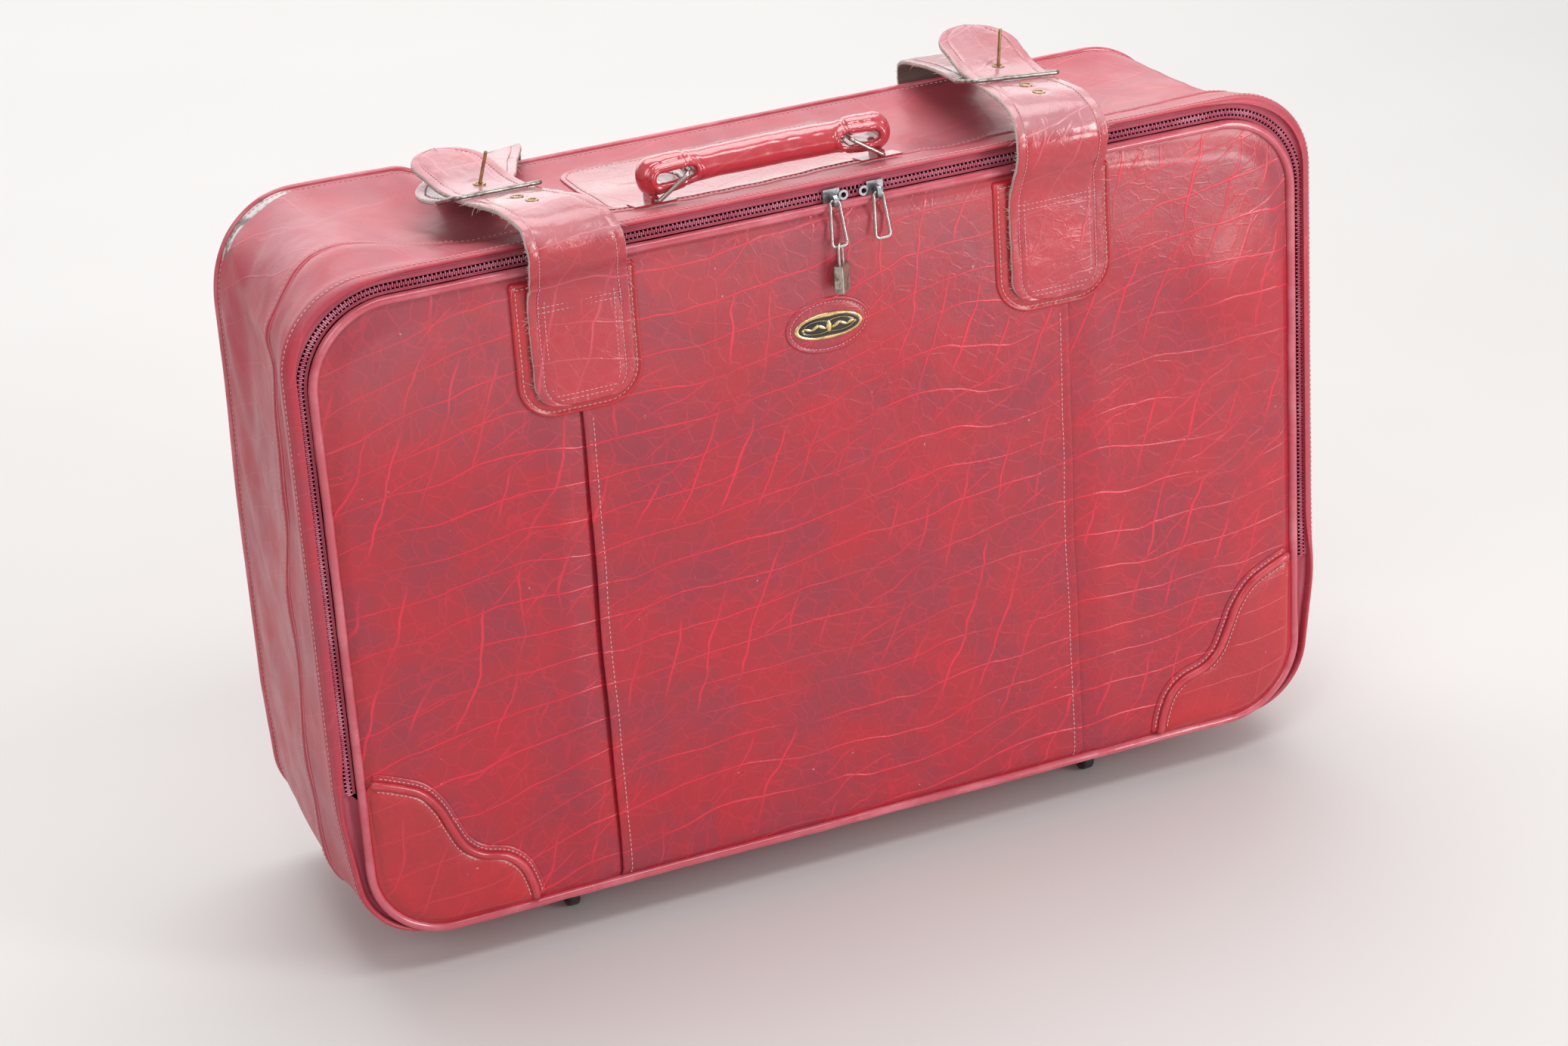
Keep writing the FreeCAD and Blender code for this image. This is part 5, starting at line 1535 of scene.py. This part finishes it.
def handle_grip():
    """The stuffed grip: a glossy tube with a cuff and a thick curled loop at each end."""
    tip = np.linspace(GRIP_HALF - 12, GRIP_HALF, 12)
    u = np.concatenate([-tip[::-1], np.linspace(-78, 78, 60), tip])
    past = np.maximum(np.abs(u) - GRIP_HALF + GRIP_R, 0) / GRIP_R
    r = GRIP_R * np.sqrt(np.clip(1 - past**2, 0.0004, 1))
    tall = 1 + 0.17 * smooth((np.abs(u) - 52) / 14)
    a = full_turn(GRIP_SIDES)
    y, z = r[:, None] * np.cos(a) * 0.98, r[:, None] * np.sin(a) * tall[:, None]
    points = np.stack([np.repeat(u[:, None], GRIP_SIDES, 1), y, z], axis=-1)
    faces = tuples(grid_faces(len(u), GRIP_SIDES, closed=True)[:, ::-1])
    faces += [cap[::-1] for cap in end_caps(len(u), GRIP_SIDES)]
    grip = raw_object("handle_padded", points.reshape(-1, 3), faces)
    for s in (-1, 1):
        near, far = sorted((s * SLOT[0], s * SLOT[1]))
        cutter = raw_object("slot", *stadium(near, far, SLOT[2], -20, 20))
        cut = grip.modifiers.new("slot", "BOOLEAN")
        cut.operation, cut.object, cut.solver = "DIFFERENCE", cutter, "EXACT"
        apply_modifiers(grip)
        bpy.data.objects.remove(cutter)
    remesh = grip.modifiers.new("remesh", "REMESH")
    remesh.mode, remesh.voxel_size = "VOXEL", 0.00095
    soften = grip.modifiers.new("soften", "SMOOTH")
    soften.factor, soften.iterations = 0.6, 5
    apply_modifiers(grip)
    mesh = grip.data
    p, n = vertices(mesh) / MM, vertices(mesh, "normal")
    x = np.abs(p[:, 0])
    dx = x - np.clip(x, SLOT[0] + SLOT[2], SLOT[1] - SLOT[2])
    hole = np.hypot(dx, p[:, 2]) - SLOT[2]
    broad = np.abs(n[:, 1]) > 0.35
    lift = 0.55 * smooth((x - CUFF_X) / 0.9) - 0.75 * bump(x, CUFF_X - 0.4, 0.7)
    lift += 0.35 * bump(x, CUFF_X - 3.2, 1.2)
    lift += np.where(broad & (x > 48), 1.3 * bump(hole, 2.3, 1.5) - 0.5 * bump(hole, 5.2, 0.9), 0)
    under = np.arctan2(p[:, 1], -p[:, 2])
    lift += np.where(x < CUFF_X - 2, 0.5 * bump(under, 0.16, 0.14) - 0.6 * bump(under, 0.0, 0.05), 0)
    lift += rumple(p, 9.0, 31) * 0.22 + rumple(p, 34.0, 32) * 0.5
    lift += rumple(p * [2.6, 1, 1], 7.0, 33) * 0.25 * smooth((x - 40) / 20)
    p = p + n * lift[:, None]
    p[:, 2] += grip_arch(p[:, 0])
    mesh.vertices.foreach_set("co", world(p + [GRIP_X, GRIP_D, GRIP_H]).reshape(-1))
    mesh.polygons.foreach_set("use_smooth", [True] * len(mesh.polygons))
    mesh.update()
    mesh.materials.clear()
    mesh.materials.append(HIDE_GRIP)
    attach(grip, "handle")
    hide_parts("handle_grip")
    spot, radius, a = CUFF_X + 3.4, 12.2, full_turn(60)
    y = GRIP_D + np.cos(a) * (radius - 0.35)
    z = GRIP_H + grip_arch(spot) + np.sin(a) * radius * 1.06
    for side, s in SIDES.items():
        ring = np.stack([np.full(len(a), s * spot) + GRIP_X, y, z], axis=1)
        out = np.stack([0 * a, np.cos(a), np.sin(a)], axis=1)
        stitches = stitch_mesh(ring, out, 2.9, 2.0, 0.32, closed=True, sink=0.5)
        piece(f"cuff_stitches_{side}", *stitches, THREAD, "handle", slot="handle_vinyl")


def handle_patch():
    """The crackled patch behind the handle, bulging where hands rub it."""
    corners = [(-123, 66), (87, 66), (87, 183), (-123, 183)]
    outline = rounded(corners, [16] * 4, [12] * 4, [40, 22, 40, 22])

    def lay(x, d, lift):
        bulge = 3.2 * bump(d, 112, 22) * smooth((115 - np.abs(x + 18)) / 40)
        return on_top(x, d, lift + bulge)

    patch("handle_rest", outline, (-18, 124), lay, 1.3, HIDE_PATCH, "case", ["handle_patch"], "vinyl",
          rim=0.35)
    row = inset_outline(outline, 4.4)
    path = lay(row[:, 0], row[:, 1], np.full(len(row), 1.25))
    CASE_STITCHES.append(stitch_mesh(path, np.tile([0.0, 0.0, 1.0], (len(path), 1)), 3.6, closed=True))


pocket()
handle_grip()
handle_patch()
underlays()
for side in SIDES:
    corner_patch(side)
badge()
panel_seam_rows()
front_straps()
rear_straps()


for d in (4.6, WELT_D + 7.5, DEPTH - 8.5):
    CASE_STITCHES.append(stitch_mesh(*shell_path(d, 0.15), 3.8, closed=True, radius=0.4))
for body, store in (("lid", LID_STITCHES), ("case", CASE_STITCHES)):
    piece(f"{body}_stitching", *join(store), THREAD, body, slot="vinyl")


# ---- finishes for the CAD nodes that show as they are ----
FINISHES = {
    "zip_tape_lid": TAPE_SHADED, "zip_tape_case": TAPE_SHADED, "frame_hoops": WEBBING, "base_board": BOARD,
    "back_board": BOARD, "back_lining": LINING, "packing_straps": WEBBING, "packing_clasps": CLASP,
    "handle_anchors": HIDE_STRAP, "castor_plates": ZINC, "lid_board": BOARD, "lid_lining": LINING,
    "padlock_shackle": STEEL, "padlock_body": LOCK, "handle_core": STEEL,
}
# by how a node's name starts
STEM_FINISHES = {
    "strap_eyelets": BRASS, "buckle_frame": WIRE, "buckle_prong": BRASS, "zip_slider": GUNMETAL,
    "zip_puller": STEEL, "handle_bail": STEEL, "castor_fork": ZINC, "castor_wheel": RUBBER,
}

for name, obj in frame["nodes"].items():
    finishes = [material for stem, material in STEM_FINISHES.items() if name.startswith(stem)]
    finish = finishes[-1] if finishes else FINISHES.get(name)
    if finish:
        obj.data.materials.clear()
        obj.data.materials.append(finish)
